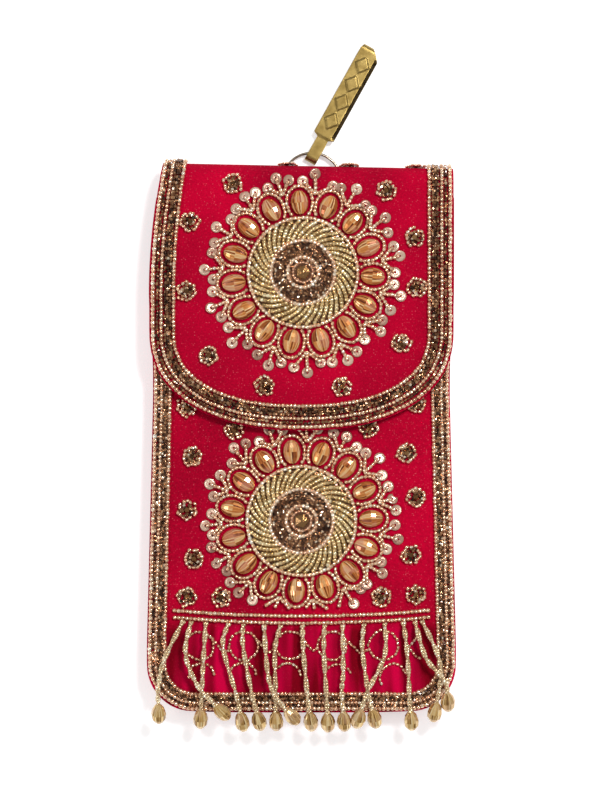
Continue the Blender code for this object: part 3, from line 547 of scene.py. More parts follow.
# Painted reflections: each facet gets its own tone, up to near-white glints.
facet = add_node(tree, "TexWhiteNoise", {"Vector": cell}, noise_dimensions="2D").outputs["Value"]
facet_share = math_node(tree, "MULTIPLY", facet, 0.62)
tone = math_node(tree, "ADD", facet_share, math_node(tree, "MULTIPLY", cloud, 0.45))
off_middle = math_node(tree, "ABSOLUTE", math_node(tree, "SUBTRACT", math_node(tree, "FRACT", cut), 0.5))
facet_reflection_tones = colour_ramp(tree, tone, (
    (0.22, (0.15, 0.028, 0.005)), (0.40, (0.50, 0.13, 0.020)), (0.62, (0.84, 0.33, 0.085)),
    (0.88, (1.0, 0.72, 0.36)),
))
# Painted sheen: a rosy tint mixed in where the cloud noise is high.
rosy = map_range(tree, cloud, 0.50, 0.62, 0.5)
painted_rosy_sheen = mix_colours(tree, rosy, facet_reflection_tones.outputs["Color"], (0.72, 0.29, 0.21, 1))
# Painted shade: the colour is darkened along the cuts between facets.
between = map_range(tree, off_middle, 0.36, 0.50, 0.65)
lined = mix_colours(tree, between, painted_rosy_sheen.outputs["Result"], (0.12, 0.028, 0.010, 1))
feed(tree, tree.nodes["Principled BSDF"], {
    "Base Color": lined.outputs["Result"], "Roughness": 0.12, "Metallic": 0.45, "Coat Weight": 0.25,
    "Coat Roughness": 0.03,
})
crystal_shape = as_shape(round_bead(14, 8))

sequin_finish = bead_material(
    "sequin_foil",
    ((0.0, (0.32, 0.14, 0.095)), (0.5, (0.54, 0.32, 0.225)), (1.0, (0.82, 0.59, 0.44))),
    0.26, 0.45, 0.5,
)
dark_stones = bead_material(
    "bronze_cut_stone",
    ((0.0, (0.06, 0.025, 0.008)), (0.5, (0.25, 0.115, 0.036)), (1.0, (0.56, 0.34, 0.14))),
    0.14, 0.8, 0.25,
)
rope_beads = bead_material(
    "green_gold_beads",
    (
        (0.0, (0.27, 0.163, 0.052)), (0.35, (0.54, 0.357, 0.15)), (0.65, (0.86, 0.638, 0.325)),
        (1.0, (1.0, 0.90, 0.61)),
    ),
    0.16, 0.80, 0.4,
)

# A sequin is a thin dished disc with a hole in its middle.
bm = bmesh.new()
bmesh.ops.create_circle(bm, segments=16, radius=0.5)
rim = list(bm.edges)
for share, dip in ((0.55, -0.06), (0.40, -0.05)):
    made = bmesh.ops.extrude_edge_only(bm, edges=rim)["geom"]
    for vert in (g for g in made if isinstance(g, bmesh.types.BMVert)):
        vert.co = (vert.co.x * share, vert.co.y * share, dip)
    rim = [e for e in bm.edges if e.is_boundary and e.verts[0].co.length < 0.4]
bmesh.ops.solidify(bm, geom=list(bm.faces), thickness=0.05)
bmesh.ops.recalc_face_normals(bm, faces=bm.faces)
sequin_shape = as_shape(bm)

# The bed under a medallion's beads is the upper half of a flattened ball.
bm = bmesh.new()
bmesh.ops.create_uvsphere(bm, u_segments=40, v_segments=12, radius=0.5)
whole = [*bm.verts, *bm.edges, *bm.faces]
bmesh.ops.bisect_plane(bm, geom=whole, plane_co=(0, 0, 0.01), plane_no=(0, 0, -1), clear_outer=True)
bmesh.ops.holes_fill(bm, edges=[e for e in bm.edges if e.is_boundary])
bmesh.ops.recalc_face_normals(bm, faces=bm.faces)
bed_shape = as_shape(bm)

bm = bmesh.new()
bmesh.ops.create_icosphere(bm, subdivisions=1, radius=0.5)
stone_shape = as_shape(bm)


def flat_places(spots, size, wobble=0.0):
    """Places for pieces that lie flat: each spot is (x, y, z, turn)."""
    made = []
    for x, y, z, turn in spots:
        tilt = Matrix.Rotation(rng.normal(0, wobble), 3, "X") @ Matrix.Rotation(rng.normal(0, wobble), 3, "Y")
        turn_matrix = Matrix.Rotation(turn, 3, "Z") @ tilt @ Matrix.Diagonal(size)
        made.append([[*turn_matrix[i], (x, y, z)[i]] for i in range(3)])
    return np.array(made)


def padding_height(radius):
    """How high the padding stands under the slanted rows, at a radius."""
    t = (radius - ROPE_BAND[0]) / (ROPE_BAND[1] - ROPE_BAND[0])
    return PADDING_HEIGHT * math.sqrt(max(1 - (2 * t - 1) ** 2, 0.0))


def make_medallion(node, centre, first_turn, face_z, lowest_y):
    """All the beads, crystals and sequins of one medallion; nothing lies below lowest_y."""
    rows, tints = [], []

    def add(path, pitch, size, shade):
        row = bead_row(path, pitch, size)
        row = row[row[:, 1, 3] > lowest_y]
        rows.append(row)
        tints.append(shades(row, shade, 0.12))

    sequin_places = [
        [(turn + rng.normal(0, 0.018), radius + rng.normal(0, 0.0006)) for turn, radius in SEQUIN_PLACES]
        for _ in range(PETALS)
    ]
    base = face_z + 0.0008
    for radius, lift in HUB_RINGS:
        add(ring_line(radius, base + lift, centre), 0.00138, (0.00142, 0.00165, 0.00160), 0.72)
    add(ring_line(0.0034, base + 0.0009, centre), 0.00115, (0.0012, 0.00115, 0.00115), 0.45)
    field = [
        bead_row(ring_line(radius, base + 0.0007, centre), 0.00092, (0.00098, 0.00096, 0.00110), slack=0.7)
        for radius in FIELD_RADII
    ]
    inner = ring_line(0.0043, base + 0.0006, centre)
    field.append(bead_row(inner, 0.0011, (0.0011, 0.0011, 0.0010), slack=0.4))
    ropes, rope_tints = [], []
    for k in range(ROPES):
        path = []
        for i in range(9):
            radius = ROPE_START + ROPE_REACH * i / 8
            angle = math.tau * k / ROPES - ROPE_SLANT * i / 8
            path.append((*round_point(centre, radius, angle), base + padding_height(radius) + 0.0002))
        rope = bead_row(path, 0.00112, (0.00130, 0.00168, 0.0017), slack=0.05)
        ropes.append(rope)
        rope_tints.append(shades(rope, 0.62, 0.16))
    for k in range(PETALS):
        angle = first_turn + PETAL_PITCH * k
        arm = [(0.0197 + 0.0018 * i / 3, 0.0026 + 0.0017 * i / 3, 0.0) for i in range(3)]
        bow = [
            (PETAL_CENTRE + PETAL_LENGTH * math.cos(a), PETAL_HALF_WIDTH * math.sin(a), 0.0)
            for a in np.linspace(1.9, -1.9, 22)
        ]
        loop = arm + bow + [(x, -y, z) for x, y, z in reversed(arm)]
        add(turned(loop, angle, centre, base), 0.00140, (0.00138, 0.00145, 0.00140), 0.60)
        for spread_angle, radius in sequin_places[k]:
            root = Vector((STEM_ROOT, 0.0))
            end = Vector((radius * math.cos(spread_angle), radius * math.sin(spread_angle)))
            stem = [(*root.lerp(end, t), 0.0002 + 0.0006 * t) for t in np.linspace(0.0, 0.98, 6)]
            stem = turned(stem, angle + PETAL_PITCH / 2, centre, base)
            add(stem, 0.00128, (0.00132, 0.00142, 0.0014), 0.66)
    beads = lay_beads(f"{node}_beads", seed_bead, np.concatenate(rows), np.concatenate(tints), gold_beads)
    field = np.concatenate(field)
    cut_field = lay_beads(f"{node}_cut_field", cut_bead, field, shades(field, 0.36, 0.36), cut_glass, False)
    ropes, rope_tints = np.concatenate(ropes), np.concatenate(rope_tints)
    rope = lay_beads(f"{node}_rope", seed_bead, ropes, rope_tints, rope_beads)
    # The bed is dark bronze glass: where it shows between the beads, it stands in as painted shade.
    places = flat_places([(*centre, face_z, 0.0)], BED_SIZE)
    bed = lay_beads(f"{node}_bed", bed_shape, places, np.array([0.25]), cut_glass)

    spots = []
    for k in range(PETALS):
        angle = first_turn + PETAL_PITCH * k
        x, y = round_point(centre, CRYSTAL_RADIUS, angle)
        spots.append((x, y, face_z + 0.0013, angle + rng.normal(0, 0.06)))
    spots = [spot for spot in spots if spot[1] > lowest_y + 0.003]
    places = flat_places(spots, CRYSTAL_SIZE, 0.05)
    tints = rng.uniform(0, 1, len(spots))
    crystals = lay_beads(f"{node}_crystals", crystal_shape, places, tints, crystal, False)
    spots = []
    for k in range(PETALS):
        for spread_angle, radius in sequin_places[k]:
            x, y = round_point(centre, radius, first_turn + PETAL_PITCH * (k + 0.5) + spread_angle)
            spots.append((x, y, face_z + 0.0007, rng.uniform(0, 6)))
    spots = [spot for spot in spots if spot[1] > lowest_y + 0.001]
    places = flat_places(spots, (SEQUIN_SIZE, SEQUIN_SIZE, SEQUIN_SIZE), 0.16)
    tints = rng.uniform(0.2, 1, len(spots))
    sequins = lay_beads(f"{node}_sequins", sequin_shape, places, tints, sequin_finish)
    places = flat_places([(*centre, base + 0.0009, 0.0)], STONE_SIZE)
    stone = lay_beads(f"{node}_stone", stone_shape, places, np.array([0.6]), dark_stones, False)
    for piece in (beads, cut_field, rope, bed, crystals, sequins, stone):
        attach(piece, "pouch")
    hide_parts(node)


make_medallion("flap_medallion", (0.0005, 0.0561), math.radians(-3.3), FLAP_TOP_Z, -1.0)
make_medallion("front_medallion", (0.0000, -0.0297), math.radians(1.8), FRONT_TOP_Z, -0.0600)

# Rosettes
# Small rosettes are scattered between: a ring of gold beads, sewn down round cut bronze beads and
# a small stone of dark glass. Three more sit on the round of the fold.

FLAP_ROSETTES = (
    (-0.0237, 0.0867), (-0.0385, 0.0736), (-0.0396, 0.0496), (-0.0320, 0.0275), (-0.0127, 0.0170),
    (0.0139, 0.0167), (0.0344, 0.0316), (0.0398, 0.0510), (0.0390, 0.0682), (0.0293, 0.0843),
)
FRONT_ROSETTES = (
    (-0.0396, 0.0097), (-0.0233, 0.0018), (-0.0378, -0.0075), (-0.0396, -0.0259), (-0.0372, -0.0428),
    (-0.0396, -0.0560), (-0.0277, -0.0562), (0.0276, -0.0560), (0.0396, -0.0553), (0.0380, -0.0415),
    (0.0396, -0.0215), (0.0364, -0.0062), (0.0234, 0.0025), (0.0396, 0.0111),
)
FOLD_ROSETTES = (-0.0048, 0.0167, 0.0397)
FOLD_ROSETTE_TURN = math.radians(98)
ROSETTE_RADIUS, ROSETTE_WAVE = 0.0030, 0.07
CHIP_RADII = (0.0020, 0.0012)
ROSETTE_STONE = (0.0021, 0.0021, 0.0022)


def rosette(place):
    """Bead places and the stone's place of one rosette, whose face is turned by a 4 by 4 matrix."""
    lobes, start = rng.integers(4, 7), rng.uniform(0, math.tau)
    path = []
    for a in np.linspace(0, math.tau, 37):
        radius = ROSETTE_RADIUS * (1 + ROSETTE_WAVE * math.cos(lobes * a + start))
        path.append((radius * math.cos(a), radius * math.sin(a), 0.0009))
    ring = bead_row(path, 0.00140, (0.00134, 0.00125, 0.0013), slack=0.45)
    chips = np.concatenate([
        bead_row(ring_line(radius, 0.0010, (0, 0), 24), 0.00100, (0.00112, 0.00112, 0.0012), slack=0.7)
        for radius in CHIP_RADII
    ])
    stone = flat_places([(0, 0, 0.0011, rng.uniform(0, 6))], ROSETTE_STONE, 0.15)
    turn = np.array(place)[:3, :3]
    move = np.array(place)[:3, 3]
    made = []
    for group in (ring, chips, stone):
        group = np.einsum("ij,njk->nik", turn, group)
        group[:, :, 3] += move
        made.append(group)
    return made


all_rings, all_chips, all_stones, nodes_replaced = [], [], [], []
for prefix, spots in (
    ("flap_rosette", FLAP_ROSETTES), ("front_rosette", FRONT_ROSETTES), ("fold_rosette", FOLD_ROSETTES),
):
    for number, spot in enumerate(spots, 1):
        if prefix == "fold_rosette":
            move = Matrix.Translation((
                spot, drooped(spot, FOLD_Y + FOLD_OUTER_RADIUS * math.sin(FOLD_ROSETTE_TURN)),
                FOLD_Z + FOLD_OUTER_RADIUS * math.cos(FOLD_ROSETTE_TURN),
            )) @ Matrix.Rotation(-FOLD_ROSETTE_TURN, 4, "X") @ Matrix.Diagonal((1, 1, 0.6, 1))
        else:
            move = Matrix.Translation((*spot, FLAP_TOP_Z if prefix == "flap_rosette" else FRONT_TOP_Z))
        for group, made in zip((all_rings, all_chips, all_stones), rosette(move)):
            group.append(made)
        nodes_replaced.append(f"{prefix}_{number:02d}")
rings, chips, stones = np.concatenate(all_rings), np.concatenate(all_chips), np.concatenate(all_stones)
rosette_beads = lay_beads("rosette_beads", seed_bead, rings, shades(rings, 0.62, 0.12), gold_beads)
rosette_chips = lay_beads("rosette_chips", cut_bead, chips, shades(chips, 0.46, 0.32), cut_glass, False)
tints = rng.uniform(0.1, 0.8, len(stones))
rosette_stones = lay_beads("rosette_stones", stone_shape, stones, tints, dark_stones, False)
for piece in (rosette_beads, rosette_chips, rosette_stones):
    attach(piece, "pouch")
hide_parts(*nodes_replaced)

# Fringe
# Two rows of gold beads head the fringe. Fifteen double strings of small beads hang from them,
# twisted together, each with a cut champagne crystal at its end. Bead scallops lie behind them.

HEADER_MIDDLE_Y = -0.0650
HEADER_RISE = 0.0020
HEADER_HALF_WIDTH = 0.0447
HEADER_BEADS_END = 0.0445
HEADER_ROW_GAP = 0.0024
STRAND_DIAMETER = 0.0016
STRAND_GAP = 0.0003
BORDER_HEIGHT = 0.0017
DROP_LENGTH = 0.0078
DROP_WIDTH = 0.0052
DROP_DROOP = math.radians(28)
PLY_RADIUS = 0.00044
PLY_TWIST = 0.62
STRANDS = (
    ((-0.0408, -0.0646), (-0.0474, -0.0776), (-0.0494, -0.0872), (-0.0494, -0.0935), 0),
    ((-0.0380, -0.0657), (-0.0400, -0.0751), (-0.0361, -0.0858), (-0.0293, -0.0935), 1),
    ((-0.0330, -0.0661), (-0.0339, -0.0780), (-0.0344, -0.0887), (-0.0347, -0.0952), 0),
    ((-0.0251, -0.0654), (-0.0271, -0.0728), (-0.0226, -0.0894), (-0.0211, -0.0963), 0),
    ((-0.0200, -0.0657), (-0.0202, -0.0728), (-0.0171, -0.0894), (-0.0154, -0.0961), 0),
    ((-0.0129, -0.0650), (-0.0117, -0.0816), (-0.0094, -0.0893), (-0.0050, -0.0949), 1),
    ((-0.0071, -0.0657), (-0.0092, -0.0740), (-0.0089, -0.0900), (-0.0088, -0.0960), 0),
    ((0.0004, -0.0656), (0.0006, -0.0738), (0.0022, -0.0918), (0.0028, -0.0962), 0),
    ((0.0081, -0.0656), (0.0077, -0.0738), (0.0088, -0.0925), (0.0090, -0.0965), 0),
    ((0.0142, -0.0652), (0.0144, -0.0812), (0.0139, -0.0887), (0.0145, -0.0962), 0),
    ((0.0217, -0.0648), (0.0210, -0.0738), (0.0232, -0.0898), (0.0245, -0.0953), 0),
    ((0.0288, -0.0656), (0.0286, -0.0762), (0.0227, -0.0886), (0.0205, -0.0952), 1),
    ((0.0352, -0.0648), (0.0366, -0.0762), (0.0373, -0.0913), (0.0377, -0.0959), 0),
    ((0.0392, -0.0648), (0.0428, -0.0766), (0.0494, -0.0846), (0.0502, -0.0892), 1),
    ((0.0416, -0.0641), (0.0472, -0.0765), (0.0479, -0.0848), (0.0466, -0.0930), 0),
)


def header_y(x):
    """The header's lower row, which hangs a little in its middle."""
    return HEADER_MIDDLE_Y + HEADER_RISE * (x / HEADER_HALF_WIDTH) ** 2


def strand_line(places, layer, steps=36):
    """The string's smooth line: down from the header, over the border, and past the edge."""
    rest = FRONT_TOP_Z + BORDER_HEIGHT + 2 * STRAND_GAP + STRAND_DIAMETER / 2
    start = FRONT_TOP_Z + 2 * STRAND_GAP + STRAND_DIAMETER / 2
    over = layer * (STRAND_DIAMETER + STRAND_GAP)
    places = [(places[0][0], header_y(places[0][0]) - STRAND_DIAMETER / 2)] + list(places[1:])
    points = []
    for i in range(steps + 1):
        t = i / steps * (len(places) - 1)
        k = min(int(t), len(places) - 2)
        t -= k
        before, after = places[max(k - 1, 0)], places[min(k + 2, len(places) - 1)]
        x, y = (
            0.5 * (2 * b + (c - a) * t + (2 * a - 5 * b + 4 * c - d) * t**2 + (3 * b - a - 3 * c + d) * t**3)
            for a, b, c, d in zip(before, places[k], places[k + 1], after)
        )
        z = start + (rest - start + over) * smooth_step(i / steps * 6)
        points.append(Vector((x, y, z)))
    return points


pale_beads = bead_material(
    "pale_gold_beads",
    (
        (0.0, (0.26, 0.13, 0.05)), (0.45, (0.57, 0.39, 0.21)), (0.75, (0.84, 0.66, 0.41)),
        (1.0, (1.0, 0.93, 0.72)),
    ),
    0.2, 0.55, 0.4,
)
bm = round_bead(10, 6)
for vert in bm.verts:
    vert.co.y *= 1.0 + 0.25 * vert.co.x
    vert.co.z *= 1.0 + 0.25 * vert.co.x
drop_shape = as_shape(bm)
drop_glass = crystal.copy()
drop_glass.name = "champagne_crystal"
nodes = drop_glass.node_tree.nodes
# The drops keep the crystals' painted facet reflections, rosy sheen and shaded cuts, in champagne tones.
for element, colour in zip(
    nodes[facet_reflection_tones.name].color_ramp.elements,
    ((0.19, 0.085, 0.018, 1), (0.50, 0.28, 0.075, 1), (0.76, 0.48, 0.17, 1), (1.0, 0.82, 0.46, 1)),
):
    element.color = colour
nodes[painted_rosy_sheen.name].inputs["B"].default_value = (0.64, 0.38, 0.22, 1)
nodes[lined.name].inputs["B"].default_value = (0.16, 0.085, 0.03, 1)

for number, (*places, layer) in enumerate(STRANDS, 1):
    line = strand_line(places, layer)
    plies = []
    for ply in (0, math.pi):
        path = []
        for i, point in enumerate(line):
            heading = (line[min(i + 1, len(line) - 1)] - line[max(i - 1, 0)]).normalized()
            side = heading.cross(Vector((0, 0, 1))).normalized()
            twist = ply + i * PLY_TWIST
            out = side * math.cos(twist) + heading.cross(side) * math.sin(twist)
            path.append(point + out * PLY_RADIUS)
        plies.append(bead_row(path, 0.00105, (0.00118, 0.00118, 0.00112), slack=0.06))
    plies = np.concatenate(plies)
    string = lay_beads(f"fringe_string_{number:02d}", seed_bead, plies, shades(plies, 0.66, 0.14), pale_beads)
    heading = (line[-1] - line[-2]).normalized()
    down = Vector((heading.x * math.cos(DROP_DROOP), heading.y * math.cos(DROP_DROOP), -math.sin(DROP_DROOP)))
    centre = line[-1] + down * (DROP_LENGTH / 2 - STRAND_DIAMETER / 2)
    turn = Vector((1, 0, 0)).rotation_difference(down).to_matrix()
    turn = turn @ Matrix.Rotation(rng.uniform(0, 3), 3, "X")
    turn = turn @ Matrix.Diagonal((DROP_LENGTH, DROP_WIDTH, DROP_WIDTH))
    place = np.array([[[*turn[i], centre[i]] for i in range(3)]])
    drop = lay_beads(f"fringe_drop_{number:02d}", drop_shape, place, rng.uniform(0, 1, 1), drop_glass, False)
    for piece in (string, drop):
        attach(piece, "pouch")
    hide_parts(f"fringe_strand_{number:02d}")

header_rows = []
xs = np.linspace(-HEADER_BEADS_END, HEADER_BEADS_END, 40)
for offset in (0.0, HEADER_ROW_GAP):
    line = [(x, header_y(x) + offset, FRONT_TOP_Z + BEAD_LIFT) for x in xs]
    header_rows.append(bead_row(line, 0.00140, (0.00138, 0.0015, 0.00145)))
header_rows = np.concatenate(header_rows)
header = lay_beads("fringe_header_beads", seed_bead, header_rows, shades(header_rows, 0.62), gold_beads)
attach(header, "pouch")
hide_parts("fringe_header")

SCALLOPS = (
    (-0.0352, -0.0729, 0.0049), (-0.0200, -0.0729, 0.0050), (-0.0040, -0.0727, 0.0049),
    (0.0106, -0.0729, 0.0049), (0.0284, -0.0727, 0.0051), (-0.0202, -0.0832, 0.0045),
    (-0.0048, -0.0834, 0.0045), (0.0126, -0.0836, 0.0044), (0.0318, -0.0838, 0.0046),
    (-0.0345, -0.0834, 0.0044),
)
SCALLOP_LINKS = (
    ((-0.0312, -0.0700), (-0.0290, -0.0728), (-0.0272, -0.0750), (-0.0248, -0.0745)),
    ((-0.0160, -0.0700), (-0.0140, -0.0724), (-0.0116, -0.0752), (-0.0090, -0.0740)),
    ((0.0000, -0.0700), (0.0018, -0.0722), (0.0040, -0.0748), (0.0060, -0.0735)),
    ((0.0148, -0.0702), (0.0172, -0.0726), (0.0200, -0.0752), (0.0234, -0.0742)),
    ((0.0402, -0.0694), (0.0372, -0.0735), (0.0392, -0.0762), (0.0414, -0.0775)),
)
SCALLOP_Z = FRONT_TOP_Z + 0.0006
paths = []
for x, y, radius in SCALLOPS:
    arc = ring_line(radius, SCALLOP_Z, (x, y), 30)
    if y < -0.0800:
        arc = arc[:17] if x < 0 else arc[1:19]
    paths.append(arc)
paths += [[(*spot, SCALLOP_Z) for spot in link] for link in SCALLOP_LINKS]
scallops = [bead_row(path, 0.00140, (0.00120, 0.00108, 0.00105), slack=0.30) for path in paths]
scallops = np.concatenate(scallops)
scallop_beads = lay_beads("scallop_beads", seed_bead, scallops, shades(scallops, 0.60, 0.12), gold_beads)
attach(scallop_beads, "pouch")

# Snap
# A plated magnetic snap holds the flap shut: a dished socket on the front, a stud on the lining.

def metal_material(name, colour, shade, roughness, scratch):
    """Worn plated metal, with fine scratches."""
    material, tree = new_material(name)
    place = add_node(tree, "TexCoord", {}).outputs["Object"]
    wear = add_node(tree, "TexNoise", {"Vector": place, "Scale": scratch, "Detail": 5}).outputs["Fac"]
    tone = colour_ramp(tree, wear, ((0.35, shade), (0.65, colour)))
    polish = add_node(tree, "MapRange", {"Value": wear, "To Min": roughness * 1.5, "To Max": roughness * 0.7})
    feed(tree, tree.nodes["Principled BSDF"], {
        "Base Color": tone.outputs["Color"], "Roughness": polish.outputs["Result"], "Metallic": 1.0,
    })
    return material


plated = metal_material("plated_steel", (0.62, 0.60, 0.55), (0.45, 0.43, 0.40), 0.3, 500)
for node in ("snap_socket", "snap_stud"):
    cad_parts[node].data.materials.clear()
    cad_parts[node].data.materials.append(plated)

# Ring and its loop
# A split ring of antique plated wire goes through a loop of velvet ribbon behind the top edge,
# whose ends are sewn to the back.

RING_CENTRE = (0.0036, 0.08805)
RING_RADIUS = 0.0103
RING_Z = 0.00195
RING_WIRE = 0.0009
RING_PITCH = 0.0012
LOOP_CLOTH = 0.0005
LOOP_TAB = 0.0090
SEAM_GAP = 0.0003

wire = bpy.data.curves.new("ring_wire", "CURVE")
wire.dimensions = "3D"
wire.bevel_depth = RING_WIRE / 2
wire.bevel_resolution = 3
wire.use_fill_caps = True
spline = wire.splines.new("POLY")
turns, count = 1.8, 150
spline.points.add(count)
for i, point in enumerate(spline.points):
    t = i / count
    angle = math.radians(-60) + math.tau * turns * t
    z = RING_Z + RING_PITCH * (smooth_step((t - 0.4) / 0.2) - 0.5)
    point.co = (*round_point(RING_CENTRE, RING_RADIUS, angle), z, 1)
holder = bpy.data.objects.new("ring_wire", wire)
bpy.context.scene.collection.objects.link(holder)
bpy.context.view_layer.update()
ring_mesh = bpy.data.meshes.new_from_object(holder.evaluated_get(bpy.context.evaluated_depsgraph_get()))
bpy.data.objects.remove(holder)
ring_mesh.materials.clear()
ring_mesh.materials.append(metal_material("antique_wire", (0.42, 0.36, 0.28), (0.22, 0.18, 0.13), 0.25, 900))
ring_mesh.shade_smooth()
ring = bpy.data.objects.new("ring_wire", ring_mesh)
bpy.context.scene.collection.objects.link(ring)
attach(ring, "ring")
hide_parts("split_ring")

LOOP_PATH = []
wire_y = RING_CENTRE[1] - RING_RADIUS
loop_height = (RING_WIRE + RING_PITCH) / 2 + SEAM_GAP + LOOP_CLOTH / 2
loop_reach = RING_WIRE / 2 + SEAM_GAP + LOOP_CLOTH / 2
for i in range(13):
    angle = math.pi / 2 - math.pi * i / 12
    LOOP_PATH.append((wire_y + loop_reach * math.cos(angle) + 0.0006, RING_Z + loop_height * math.sin(angle)))
LOOP_PATH.insert(0, (wire_y - LOOP_TAB, LOOP_PATH[0][1]))
lower = RING_Z + loop_height - LOOP_CLOTH - SEAM_GAP
LOOP_PATH += [(wire_y - 0.0022, LOOP_PATH[-1][1]), (wire_y - 0.0034, lower), (wire_y - LOOP_TAB, lower)]


def path_reach(path):
    """How far along a path each of its points lies."""
    return np.concatenate(([0], np.cumsum([math.dist(a[:2], b[:2]) for a, b in zip(path, path[1:])])))


LOOP_STEPS = path_reach(LOOP_PATH)
LOOP_WIDTH = 0.0080


def loop_place(s, t):
    """A point of the ribbon, carried along its path."""
    y, z = (float(np.interp(t * LOOP_STEPS[-1], LOOP_STEPS, [p[k] for p in LOOP_PATH])) for k in (0, 1))
    return (RING_CENTRE[0] + (s - 0.5) * LOOP_WIDTH, y, z)


ribbon = bent_sheet("velvet_ring_loop", loop_place, 8, 60, LOOP_CLOTH, 0.0001, velvet)
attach(ribbon, "pouch")
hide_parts("ring_loop")

# Waist hook
# One strip of brass, bent into an eye round the ring, a broad plate and a tongue behind it. The
# plate is brushed lengthwise, has four diamonds raised in it, and its right side is turned down,
# with painted shade on that turned-down side.

HOOK_SHEET = 0.0006
HOOK_CLEARANCE = 0.0003
HOOK_TURN = math.radians(61)
EYE_ANGLE = math.pi / 2 - math.radians(6)
HOOK_ORIGIN = round_point(RING_CENTRE, RING_RADIUS, EYE_ANGLE)
HOOK_LENGTH = 0.0415
HOOK_JAW = 0.0026
PLATE_RISE = 0.0002


def hook_path():
    """The strip from its side: (along, height, half width), from the eye's end to the tongue's."""
    ring_height = RING_WIRE + RING_PITCH
    inner = ring_height + 2 * HOOK_CLEARANCE
    eye = (inner + HOOK_SHEET) / 2
    low = HOOK_SHEET / 2
    high = low + inner + HOOK_SHEET
    neck, plate, tongue = 0.0021, 0.0039, 0.0032
    points = [(0.0046, low, neck)]
    for i in range(13):
        angle = -math.pi / 2 - math.pi * i / 12
        points.append((eye * math.cos(angle) - 0.0018, low + eye + eye * math.sin(angle), neck))
    top = high + PLATE_RISE
    points += [(0.0057, high, neck), (0.0065, top, plate)]
    bend = (HOOK_JAW + HOOK_SHEET) / 2
    tail = HOOK_LENGTH - bend
    points.append((tail - 0.0035, top, plate))
    for i in range(13):
        angle = math.pi / 2 - math.pi * i / 12
        half = plate - 0.0006 * abs(math.cos(angle))
        points.append((tail + bend * math.cos(angle), top - bend + bend * math.sin(angle), half))
    points += [(tail - 0.0145, top - 2 * bend, tongue), (tail - 0.0260, top - 2 * bend, tongue)]
    return points


HOOK_PATH = hook_path()
HOOK_STEPS = path_reach(HOOK_PATH)
CORNER_START = 0.0378
DIAMONDS = (0.0124, 0.0198, 0.0272, 0.0346)
DIAMOND_LENGTH, DIAMOND_WIDTH, DIAMOND_RISE = 0.0034, 0.0028, 0.00034
SIDE_WALL, WALL_DROP = 0.0013, 0.0010
WALL_START, WALL_END = 0.0072, 0.0384
PLATE_LOWEST_Z = 0.0022


def hook_place(s, t):
    """A point of the strip: along it and across it, with the plate's diamonds raised."""
    at = t * HOOK_STEPS[-1]
    along, height, half = (float(np.interp(at, HOOK_STEPS, [p[k] for p in HOOK_PATH])) for k in (0, 1, 2))
    corner = 0.8 * max(along - CORNER_START, 0.0)
    across = corner - half + s * (2 * half - corner)
    if HOOK_STEPS[15] < at < HOOK_STEPS[16] + 0.0010:
        turned_down = smooth_step((at - HOOK_STEPS[15]) / 0.0012) * smooth_step((WALL_END - along) / 0.0012)
        height -= WALL_DROP * turned_down * smooth_step((SIDE_WALL - half - across) / 0.0009)
        for middle in DIAMONDS:
            inside = 1 - (abs(along - middle) / DIAMOND_LENGTH + abs(across - 0.0003) / DIAMOND_WIDTH)
            height += DIAMOND_RISE * smooth_step(inside * 5)
    c, n = math.cos(HOOK_TURN), math.sin(HOOK_TURN)
    return (HOOK_ORIGIN[0] + along * c - across * n, HOOK_ORIGIN[1] + along * n + across * c, height)


brass = metal_material("satin_brass", (0.37, 0.26, 0.085), (0.23, 0.155, 0.045), 0.36, 300)
tree = brass.node_tree
place = next(n for n in tree.nodes if n.type == "TEX_COORD").outputs["Object"]
brushed = add_node(tree, "Mapping", {"Vector": place, "Rotation": (0, 0, -HOOK_TURN - math.radians(38))})
hatch = add_node(tree, "TexWave", {"Vector": brushed.outputs["Vector"], "Scale": 900, "Distortion": 1.5})
press = add_node(tree, "Bump", {"Strength": 0.25, "Distance": 0.0001, "Height": hatch.outputs["Fac"]})
feed(tree, tree.nodes["Principled BSDF"], {"Normal": press.outputs["Normal"]})
hook = bent_sheet("brass_waist_hook", hook_place, 30, 330, HOOK_SHEET, 0.00012, brass)
# Painted shade: the turned-down right side gets a dark brass, for the shade that falls on it.
painted_shade_brass = metal_material("painted_shade_brass", (0.055, 0.036, 0.012), (0.025, 0.016, 0.006), 0.4, 300)
hook.data.materials.append(painted_shade_brass)
c, n = math.cos(HOOK_TURN), math.sin(HOOK_TURN)
for face in hook.data.polygons:
    x, y = face.center.x - HOOK_ORIGIN[0], face.center.y - HOOK_ORIGIN[1]
    on_wall = WALL_START < x * c + y * n < WALL_END and y * c - x * n < SIDE_WALL - 0.0039
    if on_wall and face.center.z > PLATE_LOWEST_Z:
        face.material_index = 1
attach(hook, "hook")
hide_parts("waist_hook")

# Stage
# A plain white floor, a soft key light from the upper right, and a camera that looks straight down.

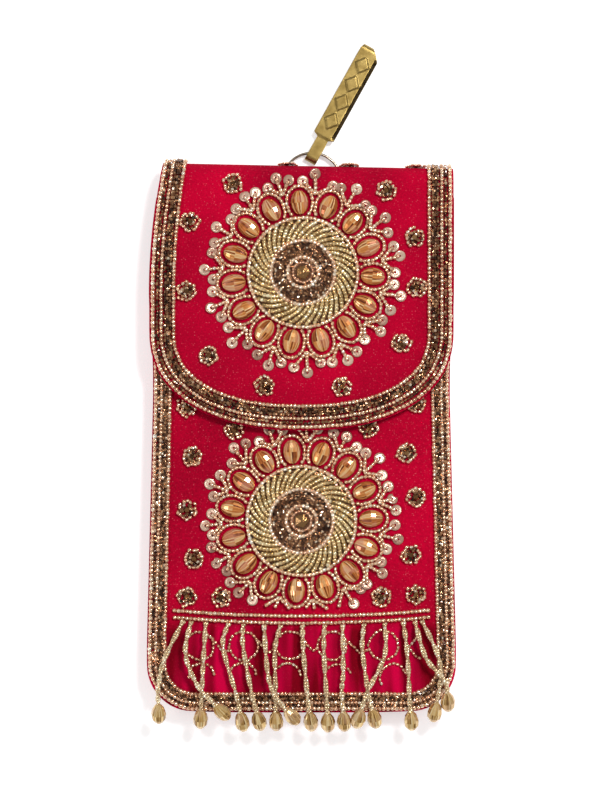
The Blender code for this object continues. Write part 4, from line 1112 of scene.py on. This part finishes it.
bm = bmesh.new()
bmesh.ops.create_grid(bm, x_segments=1, y_segments=1, size=3.0)
floor_mesh = bpy.data.meshes.new("floor")
bm.to_mesh(floor_mesh)
bm.free()
floor = bpy.data.objects.new("floor", floor_mesh)
bpy.context.scene.collection.objects.link(floor)
paper, tree = new_material("white_paper")
seen = add_node(tree, "LightPath", {}).outputs
by_eye = math_node(tree, "MAXIMUM", seen["Is Camera Ray"], seen["Is Glossy Ray"])
by_eye = math_node(tree, "MAXIMUM", by_eye, seen["Is Transmission Ray"])
feed(tree, tree.nodes["Principled BSDF"], {
    "Base Color": (0.94, 0.94, 0.94, 1), "Roughness": 0.9, "Specular IOR Level": 0.1,
    "Emission Color": (1, 1, 1, 1), "Emission Strength": math_node(tree, "MULTIPLY", by_eye, 0.45),
})
floor_mesh.materials.append(paper)

world = bpy.data.worlds.new("studio")
world.use_nodes = True
world.node_tree.nodes["Background"].inputs["Color"].default_value = (1, 1, 1, 1)
world.node_tree.nodes["Background"].inputs["Strength"].default_value = 0.40
bpy.context.scene.world = world


def softbox(name, place, size, power):
    light = bpy.data.lights.new(name, "AREA")
    light.shape = "SQUARE"
    light.size = size
    light.energy = power
    made = bpy.data.objects.new(name, light)
    made.location = place
    made.rotation_euler = (Vector((0, 0, 0)) - Vector(place)).to_track_quat("-Z", "Y").to_euler()
    bpy.context.scene.collection.objects.link(made)


softbox("key", (0.36, 0.46, 1.10), 0.22, 9.5)
softbox("fill", (-0.70, -0.20, 0.90), 0.40, 2.2)

VIEW_DISTANCE = 1.2
VIEW_HEIGHT = 0.2764
VIEW_CENTRE = (-0.0005, 0.0121, 0.0145)
camera = bpy.data.cameras.new("camera")
camera.sensor_fit = "VERTICAL"
camera.angle = 2 * math.atan(VIEW_HEIGHT / 2 / VIEW_DISTANCE)
camera.clip_start = 0.01
eye = bpy.data.objects.new("camera", camera)
eye.location = (VIEW_CENTRE[0], VIEW_CENTRE[1], VIEW_DISTANCE + VIEW_CENTRE[2])
bpy.context.scene.collection.objects.link(eye)
bpy.context.scene.camera = eye
bpy.context.scene.view_settings.view_transform = "Standard"
